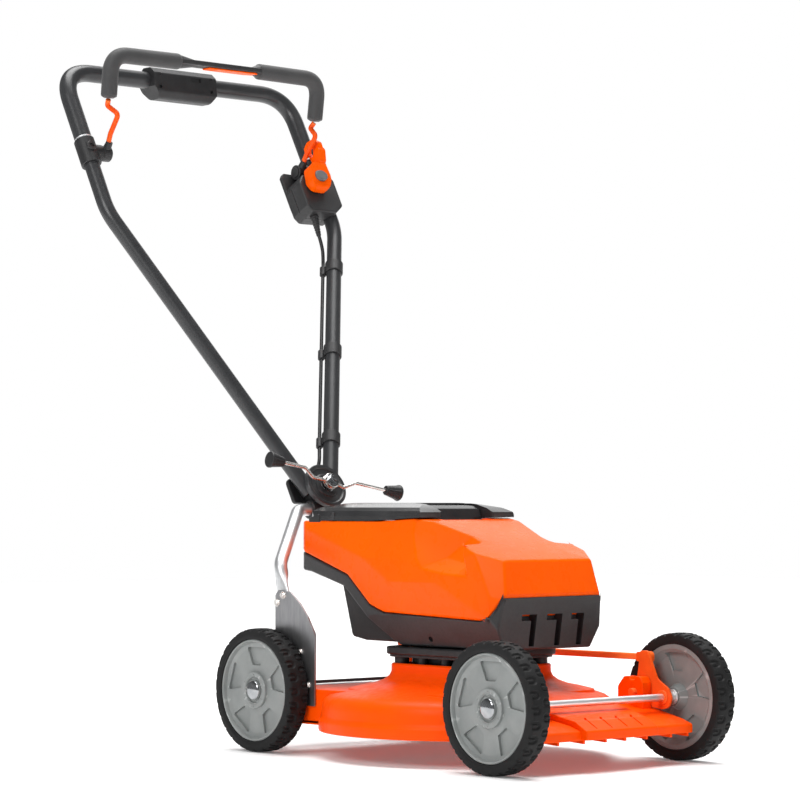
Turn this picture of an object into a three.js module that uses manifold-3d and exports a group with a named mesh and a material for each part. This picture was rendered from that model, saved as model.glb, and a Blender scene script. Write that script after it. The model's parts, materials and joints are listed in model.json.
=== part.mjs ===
// Battery push lawn mower with a round aluminium deck, in millimetres.
// The mower faces -Y, +X is its left side and +Z is up. The ground is z = 0.
// Points are written from under the middle of the wheelbase; the whole group is then moved
// along Y by FRAME_SHIFT, so that the origin is under the centre of the mower's box.
import * as THREE from "three";
import { mergeVertices } from "three/addons/utils/BufferGeometryUtils.js";
import Module from "manifold-3d";

const wasm = await Module();
wasm.setup();

// ---- driving dimensions ----
const GAP = 0.3; // clearance between pieces that touch
const FRAME_SHIFT = -198.7;

const TYRE_RADIUS = 95;
const TYRE_HALF_WIDTH = 18;
const TREAD_FLATS = 36;
const RIM_RADIUS = 78;
const WHEEL_X = 189;
const HALF_WHEELBASE = 264;
const AXLE_RADIUS = 5.5;
const AXLE_BORE = AXLE_RADIUS + GAP;
const SPOKES = 5;

const CRANK_X = 152; // middle of each crank plate
const CRANK_THICKNESS = 4;
const CRANK_ARM = 39; // from the crank's pivot forward to its axle
const PIVOT_Z = 102;
const PIVOT_RADIUS = 6;
const LINK_PIN_RISE = 51; // link pin above the crank's pivot
const LINK_PIN_RADIUS = 4;
const LINK_X = 159;

const DECK_RADIUS = 226;
const DECK_SIDES = 32;
const SKIRT_BOTTOM = 40;
const NECK_HALF = 94;
const NECK_TOP = 141;
const NECK_Y = -8;
const LIP_HALF = 158;
const LIP_CENTRE_HALF = 73;
const FLANGE_HALF = 98;
const FLANGE_BOTTOM = 154.5;
const FLANGE_TOP = 166.5;
const MOUNT_POST_SPACING = 66;

const PLATE_INNER = 166;
const PLATE_THICKNESS = 3;
const ARCH_RADIUS = 10;
const FOLD_Y = 345;
const FOLD_Z = 372;

const SHELL = 3; // wall of the housing, hood and lid
const LID_BOTTOM = 355.5;
const LID_TOP = 383;
const LATCH_NOTCH = 63; // depth of the notch in the lid's front edge

const HANDLE_LEAN = THREE.MathUtils.degToRad(28.8);
const CLAMP_Y = 352.5;
const CLAMP_Z = 401.5;
const LOWER_TUBE = 12.75; // radii of the handle's tubes
const UPPER_TUBE = 14.5;
const HANDLE_HALF = 241;
const LOWER_FOOT_X = 22.7;
const LOWER_FOOT_UP = -4;
const LOWER_BEND_UP = 518.7; // distances up the handle's plane from the clamp
const JOINT_UP = 662;
const TOP_BAR_UP = 801;
const KNUCKLE_RADIUS = 17;
const BAIL_PIVOT_UP = 636;
const SPIGOT_ROOT = 216;
const SPIGOT_TIP = 197;
const BAIL_RADIUS = 13.5;
const BAIL_ROD = 4.25;
const CONSOLE_HALF = 66;
const CABLE_RADIUS = 3;
const CABLE_OFFSET = 18.9; // cable's centre from the lower tube's centre
const CLIP_UPS = [437.8, 267.8, 96.6];

// ---- finishes ----
function finish(color, roughness, metalness) {
  return new THREE.MeshStandardMaterial({ color, roughness, metalness });
}
const ORANGE = finish(0xff5a00, 0.35, 0.0);
const ORANGE_STEEL = finish(0xf05208, 0.4, 0.3);
const DARK_PLASTIC = finish(0x3c3c3c, 0.55, 0.0);
const BLACK_PLASTIC = finish(0x1c1c1c, 0.45, 0.0);
const TUBE_PAINT = finish(0x46484a, 0.4, 0.4);
const RUBBER = finish(0x161616, 0.8, 0.0);
const RIM_GREY = finish(0xa0a4a3, 0.45, 0.0);
const CHROME = finish(0xd8d8d8, 0.15, 1.0);
const ALUMINIUM = finish(0xc4c6c8, 0.35, 0.9);
const STEEL = finish(0x8e9092, 0.4, 0.9);

// ---- geometry helpers ----

// A closed geometry as a manifold-3d solid, turned so that its faces point outwards.
function solid(geometry) {
  const bare = geometry.clone();
  bare.deleteAttribute("normal");
  bare.deleteAttribute("uv");
  const merged = mergeVertices(bare, 1e-3);
  const vertProperties = new Float32Array(merged.attributes.position.array);
  const triVerts = new Uint32Array(merged.index.array);
  const made = new wasm.Manifold(new wasm.Mesh({ numProp: 3, vertProperties, triVerts }));
  if (made.volume() > 0) return made;
  for (let i = 0; i < triVerts.length; i += 3) {
    const first = triVerts[i];
    triVerts[i] = triVerts[i + 1];
    triVerts[i + 1] = first;
  }
  return new wasm.Manifold(new wasm.Mesh({ numProp: 3, vertProperties, triVerts }));
}

function geometryOf(manifold) {
  const { numProp, vertProperties, triVerts } = manifold.getMesh();
  const geometry = new THREE.BufferGeometry();
  const interleaved = new THREE.InterleavedBuffer(vertProperties, numProp);
  geometry.setAttribute("position", new THREE.InterleavedBufferAttribute(interleaved, 3, 0));
  geometry.setIndex(new THREE.BufferAttribute(triVerts, 1));
  const plain = geometry.toNonIndexed();
  plain.computeVertexNormals();
  return plain;
}

function joined(...solids) {
  return solids.reduce((whole, next) => whole.add(next));
}

function mirrored(manifold) {
  return solid(geometryOf(manifold).scale(-1, 1, 1));
}

function moved(geometry, x, y, z) {
  return geometry.translate(x, y, z);
}

const X = new THREE.Vector3(1, 0, 0);
const Y = new THREE.Vector3(0, 1, 0);
const Z = new THREE.Vector3(0, 0, 1);

function shapeOf(points) {
  return new THREE.Shape(points.map(([a, b]) => new THREE.Vector2(a, b)));
}

function extruded(shape, depth, curveSegments = 4) {
  return new THREE.ExtrudeGeometry(shape, { depth, bevelEnabled: false, curveSegments });
}

// Outlines drawn in the YZ, XZ and XY planes, given thickness along the axis left over.
function alongX(shape, x0, x1) {
  const geometry = extruded(shape, x1 - x0);
  geometry.applyMatrix4(new THREE.Matrix4().makeBasis(Y, Z, X));
  return solid(moved(geometry, x0, 0, 0));
}

function alongY(shape, y0, y1) {
  const geometry = extruded(shape, y1 - y0);
  geometry.applyMatrix4(new THREE.Matrix4().makeBasis(X, Z, Y.clone().negate()));
  return solid(moved(geometry, 0, y1, 0));
}

function alongZ(shape, z0, z1) {
  return solid(moved(extruded(shape, z1 - z0), 0, 0, z0));
}

function box(x0, x1, y0, y1, z0, z1) {
  const geometry = new THREE.BoxGeometry(x1 - x0, y1 - y0, z1 - z0);
  return solid(moved(geometry, (x0 + x1) / 2, (y0 + y1) / 2, (z0 + z1) / 2));
}

// A round bar or cone between two points.
function bar(from, to, radius, sides = 12, endRadius = radius) {
  const start = new THREE.Vector3(...from);
  const run = new THREE.Vector3(...to).sub(start);
  const geometry = new THREE.CylinderGeometry(endRadius, radius, run.length(), sides);
  geometry.translate(0, run.length() / 2, 0);
  geometry.applyQuaternion(new THREE.Quaternion().setFromUnitVectors(Y, run.normalize()));
  return solid(moved(geometry, ...from));
}

// A profile of [radius, height] pairs turned about the Z axis.
function turned(profile, sides) {
  const points = profile.map(([radius, height]) => new THREE.Vector2(radius, height));
  return new THREE.LatheGeometry(points, sides).rotateX(Math.PI / 2);
}

function roundedRectangle(halfX, halfY, radius, centreY = 0) {
  const shape = new THREE.Shape();
  const inX = halfX - radius;
  const inY = halfY - radius;
  shape.absarc(inX, centreY + inY, radius, 0, Math.PI / 2);
  shape.absarc(-inX, centreY + inY, radius, Math.PI / 2, Math.PI);
  shape.absarc(-inX, centreY - inY, radius, Math.PI, 1.5 * Math.PI);
  shape.absarc(inX, centreY - inY, radius, 1.5 * Math.PI, 2 * Math.PI);
  return shape;
}

// Moves each side of an outline inwards by the same distance. The outline runs anticlockwise.
function inset(points, distance) {
  const count = points.length;
  return points.map((point, i) => {
    const here = new THREE.Vector2(...point);
    const before = here.clone().sub(new THREE.Vector2(...points[(i + count - 1) % count]));
    const after = new THREE.Vector2(...points[(i + 1) % count]).sub(here);
    const normals = [before, after].map((side) => {
      const unit = side.clone().normalize();
      return new THREE.Vector2(-unit.y, unit.x);
    });
    const middle = normals[0].clone().add(normals[1]).normalize();
    const reach = distance / Math.max(0.3, middle.dot(normals[0]));
    return [here.x + middle.x * reach, here.y + middle.y * reach];
  });
}

// A path through exactly these points, so that a tube has steps only where it bends.
class PointPath extends THREE.Curve {
  constructor(points) {
    super();
    this.points = points.map((point) => new THREE.Vector3(...point));
  }
  getPoint(t, target = new THREE.Vector3()) {
    const last = this.points.length - 1;
    const index = Math.min(last - 1, Math.floor(t * last + 1e-9));
    return target.lerpVectors(this.points[index], this.points[index + 1], t * last - index);
  }
  getPointAt(t, target) {
    return this.getPoint(t, target);
  }
  getTangentAt(t, target = new THREE.Vector3()) {
    const last = this.points.length - 1;
    const index = Math.round(t * last);
    const before = this.points[Math.max(0, index - 1)];
    const after = this.points[Math.min(last, index + 1)];
    return target.copy(after).sub(before).normalize();
  }
}

// Rounds the corners of a chain of points: each corner is [x, y, z, bend radius].
function rounded(corners, steps = 5) {
  const path = [];
  corners.forEach(([x, y, z, radius], i) => {
    const corner = new THREE.Vector3(x, y, z);
    if (!radius) {
      path.push([x, y, z]);
      return;
    }
    const toBefore = new THREE.Vector3(...corners[i - 1].slice(0, 3)).sub(corner).normalize();
    const toAfter = new THREE.Vector3(...corners[i + 1].slice(0, 3)).sub(corner).normalize();
    const trim = radius / Math.tan(toBefore.angleTo(toAfter) / 2);
    const start = corner.clone().addScaledVector(toBefore, trim);
    const end = corner.clone().addScaledVector(toAfter, trim);
    const bend = new THREE.QuadraticBezierCurve3(start, corner, end);
    bend.getPoints(steps).forEach((point) => path.push(point.toArray()));
  });
  return path;
}

function tube(points, radius, sides = 12) {
  const section = new THREE.Shape();
  section.absarc(0, 0, radius, 0, 2 * Math.PI);
  return solid(
    new THREE.ExtrudeGeometry(section, {
      steps: points.length - 1,
      curveSegments: sides / 2,
      extrudePath: new PointPath(points),
    }),
  );
}

// A point in the handle's plane: x across, up along the tubes, out from the plane to the front.
function onHandle(x, up, out = 0) {
  const sin = Math.sin(HANDLE_LEAN);
  const cos = Math.cos(HANDLE_LEAN);
  return [x, CLAMP_Y + up * sin - out * cos, CLAMP_Z + up * cos + out * sin];
}

// A block square to the handle's plane.
function handleBlock(x0, x1, up0, up1, out0, out1) {
  const geometry = new THREE.BoxGeometry(x1 - x0, out1 - out0, up1 - up0);
  geometry.rotateX(-HANDLE_LEAN);
  return solid(moved(geometry, ...onHandle((x0 + x1) / 2, (up0 + up1) / 2, (out0 + out1) / 2)));
}

function lowerTubeX(up) {
  const slope = (HANDLE_HALF - LOWER_FOOT_X) / LOWER_BEND_UP;
  return up < LOWER_BEND_UP ? LOWER_FOOT_X + slope * up : HANDLE_HALF;
}

// ---- assembly ----
const mower = new THREE.Group();
mower.position.y = FRAME_SHIFT;

function add(name, manifold, material) {
  const mesh = new THREE.Mesh(geometryOf(manifold), material);
  mesh.name = name;
  mower.add(mesh);
}

// ---- wheels ----
function tyre() {
  // The flats stand off the axle by the tyre's radius, so that one of them lies on the ground.
  const corner = TYRE_RADIUS / Math.cos(Math.PI / TREAD_FLATS);
  const profile = [
    [RIM_RADIUS + GAP, -16],
    [corner - 8, -TYRE_HALF_WIDTH],
    [corner, -15],
    [corner, 15],
    [corner - 8, TYRE_HALF_WIDTH],
    [RIM_RADIUS + GAP, 16],
    [RIM_RADIUS + GAP, -16],
  ];
  return turned(profile, TREAD_FLATS).rotateZ(Math.PI / TREAD_FLATS);
}

function rim() {
  const profile = [
    [AXLE_BORE, -17],
    [14, -17],
    [20, 2],
    [64, 2],
    [72, -15.5],
    [RIM_RADIUS, -15.5],
    [RIM_RADIUS, 15.5],
    [73, 15.5],
    [64, 9],
    [28, 10],
    [28, 15],
    [AXLE_BORE, 15],
    [AXLE_BORE, -17],
  ];
  const windows = [];
  for (let i = 0; i < SPOKES; i += 1) {
    const window = extruded(shapeOf([[36, -11], [61, -22], [61, 22], [36, 11]]), 8);
    moved(window, 0, 0, 6.5).rotateZ((i * 2 * Math.PI) / SPOKES);
    windows.push(solid(window));
  }
  return geometryOf(solid(turned(profile, 20)).subtract(joined(...windows)));
}

function hubCap() {
  const profile = [
    [0, 15.3],
    [17.5, 15.3],
    [17, 17],
    [11, 19.6],
    [0, 20.5],
  ];
  return turned(profile, 14);
}

function addWheels() {
  const places = { left: 1, right: -1 };
  const ends = { front: -HALF_WHEELBASE, rear: HALF_WHEELBASE };
  for (const [end, y] of Object.entries(ends)) {
    for (const [side, sign] of Object.entries(places)) {
      // Each wheel is turned with its outer face along +Z, then laid over to its side.
      const place = (geometry) => {
        geometry.rotateY((sign * Math.PI) / 2);
        return solid(moved(geometry, sign * WHEEL_X, y, TYRE_RADIUS));
      };
      add(`tyre_${end}_${side}`, place(tyre()), RUBBER);
      add(`rim_${end}_${side}`, place(rim()), RIM_GREY);
      add(`hub_cap_${end}_${side}`, place(hubCap()), CHROME);
    }
  }
}

// ---- height adjuster: axles, cranks, link and lever ----
function axle(y) {
  const end = WHEEL_X + 14;
  const collars = [-1, 1].map((sign) =>
    bar([sign * 155, y, TYRE_RADIUS], [sign * 169, y, TYRE_RADIUS], 8),
  );
  return joined(bar([-end, y, TYRE_RADIUS], [end, y, TYRE_RADIUS], AXLE_RADIUS), ...collars);
}

// A plate that carries the axle on its arm, turns on a stub pin, and may carry the link's pin.
function crank(axleY, withLinkPin) {
  const pivotY = axleY + CRANK_ARM;
  const outline = [
    [10, 51],
    [6, 60],
    [-6, 60],
    [-14, 50],
    [-28, 18],
    [-50, 6],
    [-56, -7],
    [-50, -21],
    [-38, -24],
    [10, -18],
    [16, 0],
  ];
  const shape = shapeOf(outline.map(([dy, dz]) => [pivotY + dy, PIVOT_Z + dz]));
  const half = CRANK_THICKNESS / 2;
  const plate = alongX(shape, CRANK_X - half, CRANK_X + half);
  const bore = bar([CRANK_X - 9, axleY, TYRE_RADIUS], [CRANK_X + 9, axleY, TYRE_RADIUS], AXLE_BORE);
  const stub = bar([122, pivotY, PIVOT_Z], [CRANK_X, pivotY, PIVOT_Z], PIVOT_RADIUS);
  const whole = plate.subtract(bore).add(stub);
  if (!withLinkPin) return whole;
  const pinZ = PIVOT_Z + LINK_PIN_RISE;
  return whole.add(bar([CRANK_X, pivotY, pinZ], [164, pivotY, pinZ], LINK_PIN_RADIUS));
}

function linkRod() {
  const frontY = CRANK_ARM - HALF_WHEELBASE;
  const rearY = CRANK_ARM + HALF_WHEELBASE;
  const z = PIVOT_Z + LINK_PIN_RISE;
  const rod = bar([LINK_X, frontY, z], [LINK_X, rearY, z], 4.5, 10);
  const eyes = [frontY, rearY].map((y) => box(154.6, 163.4, y - 9, y + 9, z - 8, z + 8));
  const frontBore = bar([150, frontY, z], [168, frontY, z], LINK_PIN_RADIUS + GAP);
  const rearBore = bar([150, rearY, z], [168, rearY, z], LINK_PIN_RADIUS + 1);
  return joined(rod, ...eyes).subtract(frontBore).subtract(rearBore);
}

function heightLever() {
  const pivotY = CRANK_ARM + HALF_WHEELBASE;
  const outline = [
    [-12, -8],
    [12, -8],
    [14, 6],
    [42, 170],
    [30, 172],
    [-12, 10],
  ];
  const shape = shapeOf(outline.map(([dy, dz]) => [pivotY + dy, PIVOT_Z + dz]));
  const bore = bar([140, pivotY, PIVOT_Z], [152, pivotY, PIVOT_Z], PIVOT_RADIUS + GAP);
  return alongX(shape, 144, 149).subtract(bore);
}

function heightLeverKnob() {
  const pivotY = CRANK_ARM + HALF_WHEELBASE;
  const knob = alongX(
    shapeOf([
      [pivotY + 22, PIVOT_Z + 150],
      [pivotY + 46, PIVOT_Z + 147],
      [pivotY + 52, PIVOT_Z + 192],
      [pivotY + 42, PIVOT_Z + 200],
      [pivotY + 30, PIVOT_Z + 194],
    ]),
    138,
    155,
  );
  const slot = alongX(
    shapeOf([
      [pivotY + 19, PIVOT_Z + 130],
      [pivotY + 39, PIVOT_Z + 130],
      [pivotY + 44, PIVOT_Z + 174],
      [pivotY + 28, PIVOT_Z + 176],
    ]),
    143.6,
    149.4,
  );
  return knob.subtract(slot);
}

function addHeightAdjuster() {
  add("front_axle", axle(-HALF_WHEELBASE), ALUMINIUM);
  add("rear_axle", axle(HALF_WHEELBASE), ALUMINIUM);
  add("front_crank_left", crank(-HALF_WHEELBASE, true), ORANGE_STEEL);
  add("front_crank_right", mirrored(crank(-HALF_WHEELBASE, false)), ORANGE_STEEL);
  add("rear_crank_left", crank(HALF_WHEELBASE, true), ORANGE_STEEL);
  add("rear_crank_right", mirrored(crank(HALF_WHEELBASE, false)), ORANGE_STEEL);
  add("link_rod", linkRod(), ORANGE_STEEL);
  add("height_lever", heightLever(), ORANGE_STEEL);
  add("height_lever_knob", heightLeverKnob(), BLACK_PLASTIC);
}

// ---- deck ----
function deckBowl() {
  const profile = [
    [30, 118],
    [90, 116],
    [149, 102],
    [203, 90.5],
    [216, 82],
    [218, 60],
    [222, 56],
    [222, SKIRT_BOTTOM],
    [DECK_RADIUS - 1, SKIRT_BOTTOM],
    [DECK_RADIUS, 56],
    [222, 61],
    [221, 84],
    [206, 95],
    [150, 106],
    [92, 120],
    [30, 122],
    [30, 118],
  ];
  return solid(turned(profile, DECK_SIDES));
}

// The space that the blade needs, cut from what is joined to the bowl. It ends inside the bowl's wall.
function chamberSpace() {
  const profile = [
    [0, 119.5],
    [91, 118],
    [150, 104],
    [204, 92.5],
    [218, 83],
    [220, 60],
    [223.5, 56],
    [223.5, SKIRT_BOTTOM - 10],
    [0, SKIRT_BOTTOM - 10],
  ];
  return solid(turned(profile, DECK_SIDES));
}

function deckLip() {
  const wings = shapeOf([
    [-317, 50],
    [-190, 83],
    [-190, 88],
    [-317, 56],
  ]);
  const centre = shapeOf([
    [-329, 52],
    [-323, 54],
    [-303, 64],
    [-200, 84],
    [-200, 90],
    [-228, 86],
    [-305, 70],
    [-329, 58],
  ]);
  const ribs = [-150, -115, -64, -20, 20, 64, 115, 150].map((x) =>
    alongX(shapeOf([[-316, 42], [-225, 50], [-225, 76], [-316, 52]]), x - 2.5, x + 2.5),
  );
  const lip = joined(alongX(wings, -LIP_HALF, LIP_HALF), ...ribs);
  return lip.add(alongX(centre, -LIP_CENTRE_HALF, LIP_CENTRE_HALF));
}

function deckRear() {
  const halfX = PLATE_INNER - 0.6;
  const outer = box(-halfX, halfX, 90, 245, 46, 100);
  const inner = box(-halfX + 4, halfX - 4, 80, 241, 40, 96);
  const rails = [];
  for (const sign of [-1, 1]) {
    const x0 = Math.min(sign * 126, sign * 142);
    const rail = shapeOf([
      [236, 46],
      [318, 46],
      [318, 112],
      [310, 117],
      [296, 117],
      [289, 110],
      [289, 60],
      [236, 60],
    ]);
    rails.push(alongX(rail, x0, x0 + 16));
  }
  return joined(outer.subtract(inner), ...rails);
}

function frontPivotBlocks() {
  const shape = shapeOf([
    [-242, 62],
    [-190, 62],
    [-190, 112],
    [-205, 125],
    [-236, 125],
    [-242, 118],
  ]);
  const block = alongX(shape, 130, 148.5);
  return block.add(mirrored(block));
}

function deck() {
  const collar = alongZ(roundedRectangle(NECK_HALF, NECK_HALF, 34, NECK_Y), 112, NECK_TOP);
  const wellHalf = NECK_HALF - 8;
  const collarWell = alongZ(roundedRectangle(wellHalf, wellHalf, 28, NECK_Y), 121.5, NECK_TOP + 5);
  const shaftHole = bar([0, 0, 100], [0, 0, 150], 30, 20);
  const pivotHoles = [-HALF_WHEELBASE, HALF_WHEELBASE].map((y) =>
    bar([-170, y + CRANK_ARM, PIVOT_Z], [170, y + CRANK_ARM, PIVOT_Z], PIVOT_RADIUS + GAP),
  );
  return joined(collar, deckLip(), deckRear(), frontPivotBlocks())
    .subtract(chamberSpace())
    .add(deckBowl())
    .subtract(collarWell)
    .subtract(shaftHole)
    .subtract(joined(...pivotHoles));
}

function rearGuard() {
  return alongX(shapeOf([[318.4, 34], [322, 34], [322, 101], [318.4, 101]]), -142, 142);
}

function addDeck() {
  add("deck", deck(), ORANGE);
  add("rear_guard", rearGuard(), DARK_PLASTIC);
}

// ---- cutting drive ----
function motorMount() {
  const outline = roundedRectangle(FLANGE_HALF, FLANGE_HALF, 28, NECK_Y);
  const flange = alongZ(outline, FLANGE_BOTTOM, FLANGE_TOP);
  const shaftHole = bar([0, 0, 120], [0, 0, 170], 14, 16);
  const motorSeat = bar([0, 0, 162.2], [0, 0, 170], 48, 24);
  const drum = bar([0, 0, 124], [0, 0, FLANGE_BOTTOM + 2], 46, 16);
  const posts = [];
  for (const column of [-1, 0, 1]) {
    for (const row of [-1, 0, 1]) {
      if (!column && !row) continue;
      const x = column * MOUNT_POST_SPACING;
      const y = NECK_Y + row * MOUNT_POST_SPACING;
      const top = column && row ? FLANGE_TOP + 1 : FLANGE_BOTTOM + 2;
      posts.push(bar([x, y, 122.3], [x, y, top], 8, 8));
    }
  }
  return joined(flange, drum, ...posts).subtract(shaftHole).subtract(motorSeat);
}

function motor() {
  const can = bar([0, 0, 162.5], [0, 0, 212], 47, 24);
  return can.add(bar([0, 0, 211], [0, 0, 218], 20, 16));
}

function motorShaft() {
  const shaft = bar([0, 0, 57], [0, 0, 162], 8, 16);
  const flange = bar([0, 0, 56.5], [0, 0, 62], 30, 20);
  return shaft.add(flange).subtract(bar([0, 0, 50], [0, 0, 76], 5.4, 12));
}

function blade() {
  const outline = shapeOf([
    [-210, -22],
    [-140, -28],
    [140, -28],
    [210, -10],
    [210, 22],
    [140, 28],
    [-140, 28],
    [-210, 10],
  ]);
  return alongZ(outline, 52, 56.2).subtract(bar([0, 0, 45], [0, 0, 60], 5.4, 12));
}

function bladeBolt() {
  return bar([0, 0, 43], [0, 0, 51.7], 14, 6).add(bar([0, 0, 51], [0, 0, 74], 5, 12));
}

function addCuttingDrive() {
  add("motor_mount", motorMount(), BLACK_PLASTIC);
  add("motor", motor(), STEEL);
  add("motor_shaft", motorShaft(), STEEL);
  add("blade", blade(), STEEL);
  add("blade_bolt", bladeBolt(), STEEL);
}

// ---- housing ----
const SEAM = [
  [-186, 248],
  [-165, 216.5],
  [-145, 211],
  [65, 218],
  [99, 229],
  [154, 273],
  [266, 305],
  [290, 309],
];
const HOUSING_PLAN = [
  [95, -181],
  [111, -164],
  [121, -60],
  [121, 60],
  [110, 255],
  [88, 285],
  [-88, 285],
  [-110, 255],
  [-121, 60],
  [-121, -60],
  [-111, -164],
  [-95, -181],
];
const HOUSING_FRONT_VIEW = [
  [88, 165],
  [112, 215],
  [121, 265],
  [117, 300],
  [100, 358],
  [-100, 358],
  [-117, 300],
  [-121, 265],
  [-112, 215],
  [-88, 165],
];
const WELL_SIDE = [
  [20, 171.5],
  [150, 172],
  [182, 177],
  [205, 254],
  [205, 275],
  [20, 275],
];

// The housing's outer form between a side outline and the plan and front outlines, inset.
function housingForm(side, wall) {
  const plan = alongZ(shapeOf(inset(HOUSING_PLAN, wall)), 100, 400);
  const front = alongY(shapeOf(inset(HOUSING_FRONT_VIEW, wall)), -250, 350);
  return alongX(shapeOf(side), -150, 150).intersect(plan).intersect(front);
}

function housingLower() {
  const upper = SEAM.map(([y, z]) => [y, z - GAP / 2]);
  const below = [
    [285, 286],
    [253, 278],
    [164, 255],
    [65, 176],
    [50, 168],
    [-173, 168],
    [-190, 249],
  ];
  const outline = [...upper, ...below].reverse();
  const raised = SEAM.map(([y, z]) => [y, z + 30]);
  const cavity = [...raised, ...below].reverse();
  const wellOuter = alongX(shapeOf(WELL_SIDE), -75, 75);
  const wellInner = alongX(shapeOf(inset(WELL_SIDE, SHELL)), -75 + SHELL, 75 - SHELL);
  const underSeam = alongX(shapeOf([...upper, [290, 100], [-186, 100]].reverse()), -150, 150);
  const motorHole = bar([0, 0, 160], [0, 0, 180], 50, 24);
  return joined(housingForm(outline, 0), wellOuter.intersect(underSeam))
    .subtract(housingForm(inset(cavity, SHELL), SHELL))
    .subtract(wellInner)
    .subtract(motorHole);
}

// The finger scoop in each side of the hood: a floor that rises to the rear under a notch.
function scoop() {
  const outline = shapeOf([
    [-20, 280],
    [-122, 268],
    [-150, 326],
    [-62, 344],
    [22, 337],
  ]);
  return alongX(outline, 104, 140);
}

function hood() {
  const lower = SEAM.map(([y, z]) => [y, z + GAP / 2]);
  const above = [
    [290, 355],
    [50, 355],
    [-50, 345],
    [-149, 326],
    [-190, 299],
  ];
  const outline = [...lower, ...above];
  const dropped = SEAM.map(([y, z]) => [y, z - 30]);
  const cavity = [...dropped, ...above];
  const batteryDoor = box(-80, 80, 66, 236, 340, 370);
  const latchRecess = alongX(
    shapeOf([
      [62, 340],
      [62, 360],
      [-18, 360],
      [-18, 340],
    ]),
    -44,
    44,
  );
  const scoops = scoop().add(mirrored(scoop()));
  const walls = housingForm(outline, 0).subtract(housingForm(inset(cavity, SHELL), SHELL));
  const scoopPans = joined(
    alongX(shapeOf([[-17, 276], [-124, 264], [-154, 328], [-62, 348], [26, 341]]), 101, 140),
  );
  const pans = scoopPans.add(mirrored(scoopPans)).intersect(housingForm(outline, 0));
  return walls.add(pans).subtract(scoops).subtract(batteryDoor).subtract(latchRecess);
}

function lid() {
  const plan = shapeOf([
    [100, 0],
    [100, 250],
    [94, 258],
    [-94, 258],
    [-100, 250],
    [-100, 0],
    [-44, 0],
    [-44, LATCH_NOTCH],
    [44, LATCH_NOTCH],
    [44, 0],
  ]);
  const side = shapeOf([
    [0, LID_BOTTOM],
    [258, LID_BOTTOM],
    [258, 368],
    [225, LID_TOP],
    [40, LID_TOP],
    [0, 372],
  ]);
  const inner = box(-94, 94, LATCH_NOTCH + 4, 250, LID_BOTTOM - 5, LID_TOP - 6);
  return alongZ(plan, 350, 390).intersect(alongX(side, -110, 110)).subtract(inner);
}

function lidLatch() {
  const side = shapeOf([
    [59, 369],
    [59, 377],
    [51, 380],
    [27, 375],
    [21, 359],
    [25, 359],
    [33, 369],
  ]);
  return alongX(side, -43, 43);
}

function battery() {
  const shape = roundedRectangle(60, 50, 8, 118);
  return alongZ(shape, 178, 336);
}

function controller() {
  return box(-70, 70, -158, -62, 186, 232);
}

function addHousing() {
  add("housing_lower", housingLower(), DARK_PLASTIC);
  add("hood", hood(), ORANGE);
  add("lid", lid(), BLACK_PLASTIC);
  add("lid_latch", lidLatch(), BLACK_PLASTIC);
  add("battery", battery(), DARK_PLASTIC);
  add("controller", controller(), BLACK_PLASTIC);
}

// ---- handle support ----
function sidePlate() {
  const outline = shapeOf([
    [159, 74],
    [255, 74],
    [255, 242],
    [248, 249],
    [218, 246],
    [196, 230],
    [176, 209],
    [159, 184],
  ]);
  return alongX(outline, PLATE_INNER, PLATE_INNER + PLATE_THICKNESS);
}

function handleArch() {
  const footX = PLATE_INNER - ARCH_RADIUS - 0.6;
  const right = [
    [-footX, 241, 236, 0],
    [-footX, 260, 287, 30],
    [-50, FOLD_Y, FOLD_Z, 24],
  ];
  const left = right.map(([x, ...rest]) => [-x, ...rest]).reverse();
  return tube(rounded([...right, ...left], 3), ARCH_RADIUS, 10);
}

// The bracket that folds on the arch's top bar and backs the clamp.
function clampBracket() {
  const axisUp = -29.5;
  const axisOut = -7.6;
  const barrel = bar([-28, FOLD_Y, FOLD_Z], [28, FOLD_Y, FOLD_Z], 14, 16);
  const bore = bar([-40, FOLD_Y, FOLD_Z], [40, FOLD_Y, FOLD_Z], ARCH_RADIUS + GAP, 16);
  const backPlate = handleBlock(-46, 46, axisUp + 17, 36, -21, -14);
  const neck = handleBlock(-28, 28, axisUp - 6, axisUp + 20, -21, -14);
  const boltHole = bar(onHandle(0, 0, -30), onHandle(0, 0, -5), 5 + GAP);
  return joined(barrel, backPlate, neck).subtract(bore).subtract(boltHole);
}

function clampDisc() {
  const disc = bar(onHandle(0, 0, 13.2), onHandle(0, 0, 22), 38, 24);
  return disc.subtract(bar(onHandle(0, 0, 5), onHandle(0, 0, 30), 5 + GAP));
}

function clampBolt() {
  const shank = bar(onHandle(0, 0, -25), onHandle(0, 0, 42), 5);
  const head = bar(onHandle(0, 0, -27), onHandle(0, 0, -21.4), 9, 6);
  const nut = bar(onHandle(0, 0, 38.4), onHandle(0, 0, 46), 9, 6);
  return joined(shank, head, nut);
}

function wingLever() {
  const outs = 34;
  const wire = [
    onHandle(-96, 29.5, 42),
    onHandle(-52, 20, 42),
    onHandle(-34, 6, outs),
    onHandle(0, 0, outs),
    onHandle(20, -12, outs),
    onHandle(42, -8, 42),
    onHandle(103, -21.5, 42),
  ];
  const hub = bar(onHandle(0, 0, 28), onHandle(0, 0, 38), 13, 16);
  return joined(tube(wire, 3, 8), hub).subtract(bar(onHandle(0, 0, 20), onHandle(0, 0, 50), 5 + GAP));
}

function leverKnob(sign) {
  const tip = sign < 0 ? onHandle(-120, 34.5, 42) : onHandle(128, -26.5, 42);
  const root = sign < 0 ? onHandle(-93, 28.9, 42) : onHandle(100, -20.8, 42);
  const wireEnd = sign < 0 ? onHandle(-97.5, 29.8, 42) : onHandle(104.5, -21.8, 42);
  const before = sign < 0 ? onHandle(-70, 23.9, 42) : onHandle(80, -16.5, 42);
  return bar(root, tip, 8, 14, 13.5).subtract(bar(before, wireEnd, 3 + GAP, 8));
}

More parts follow.
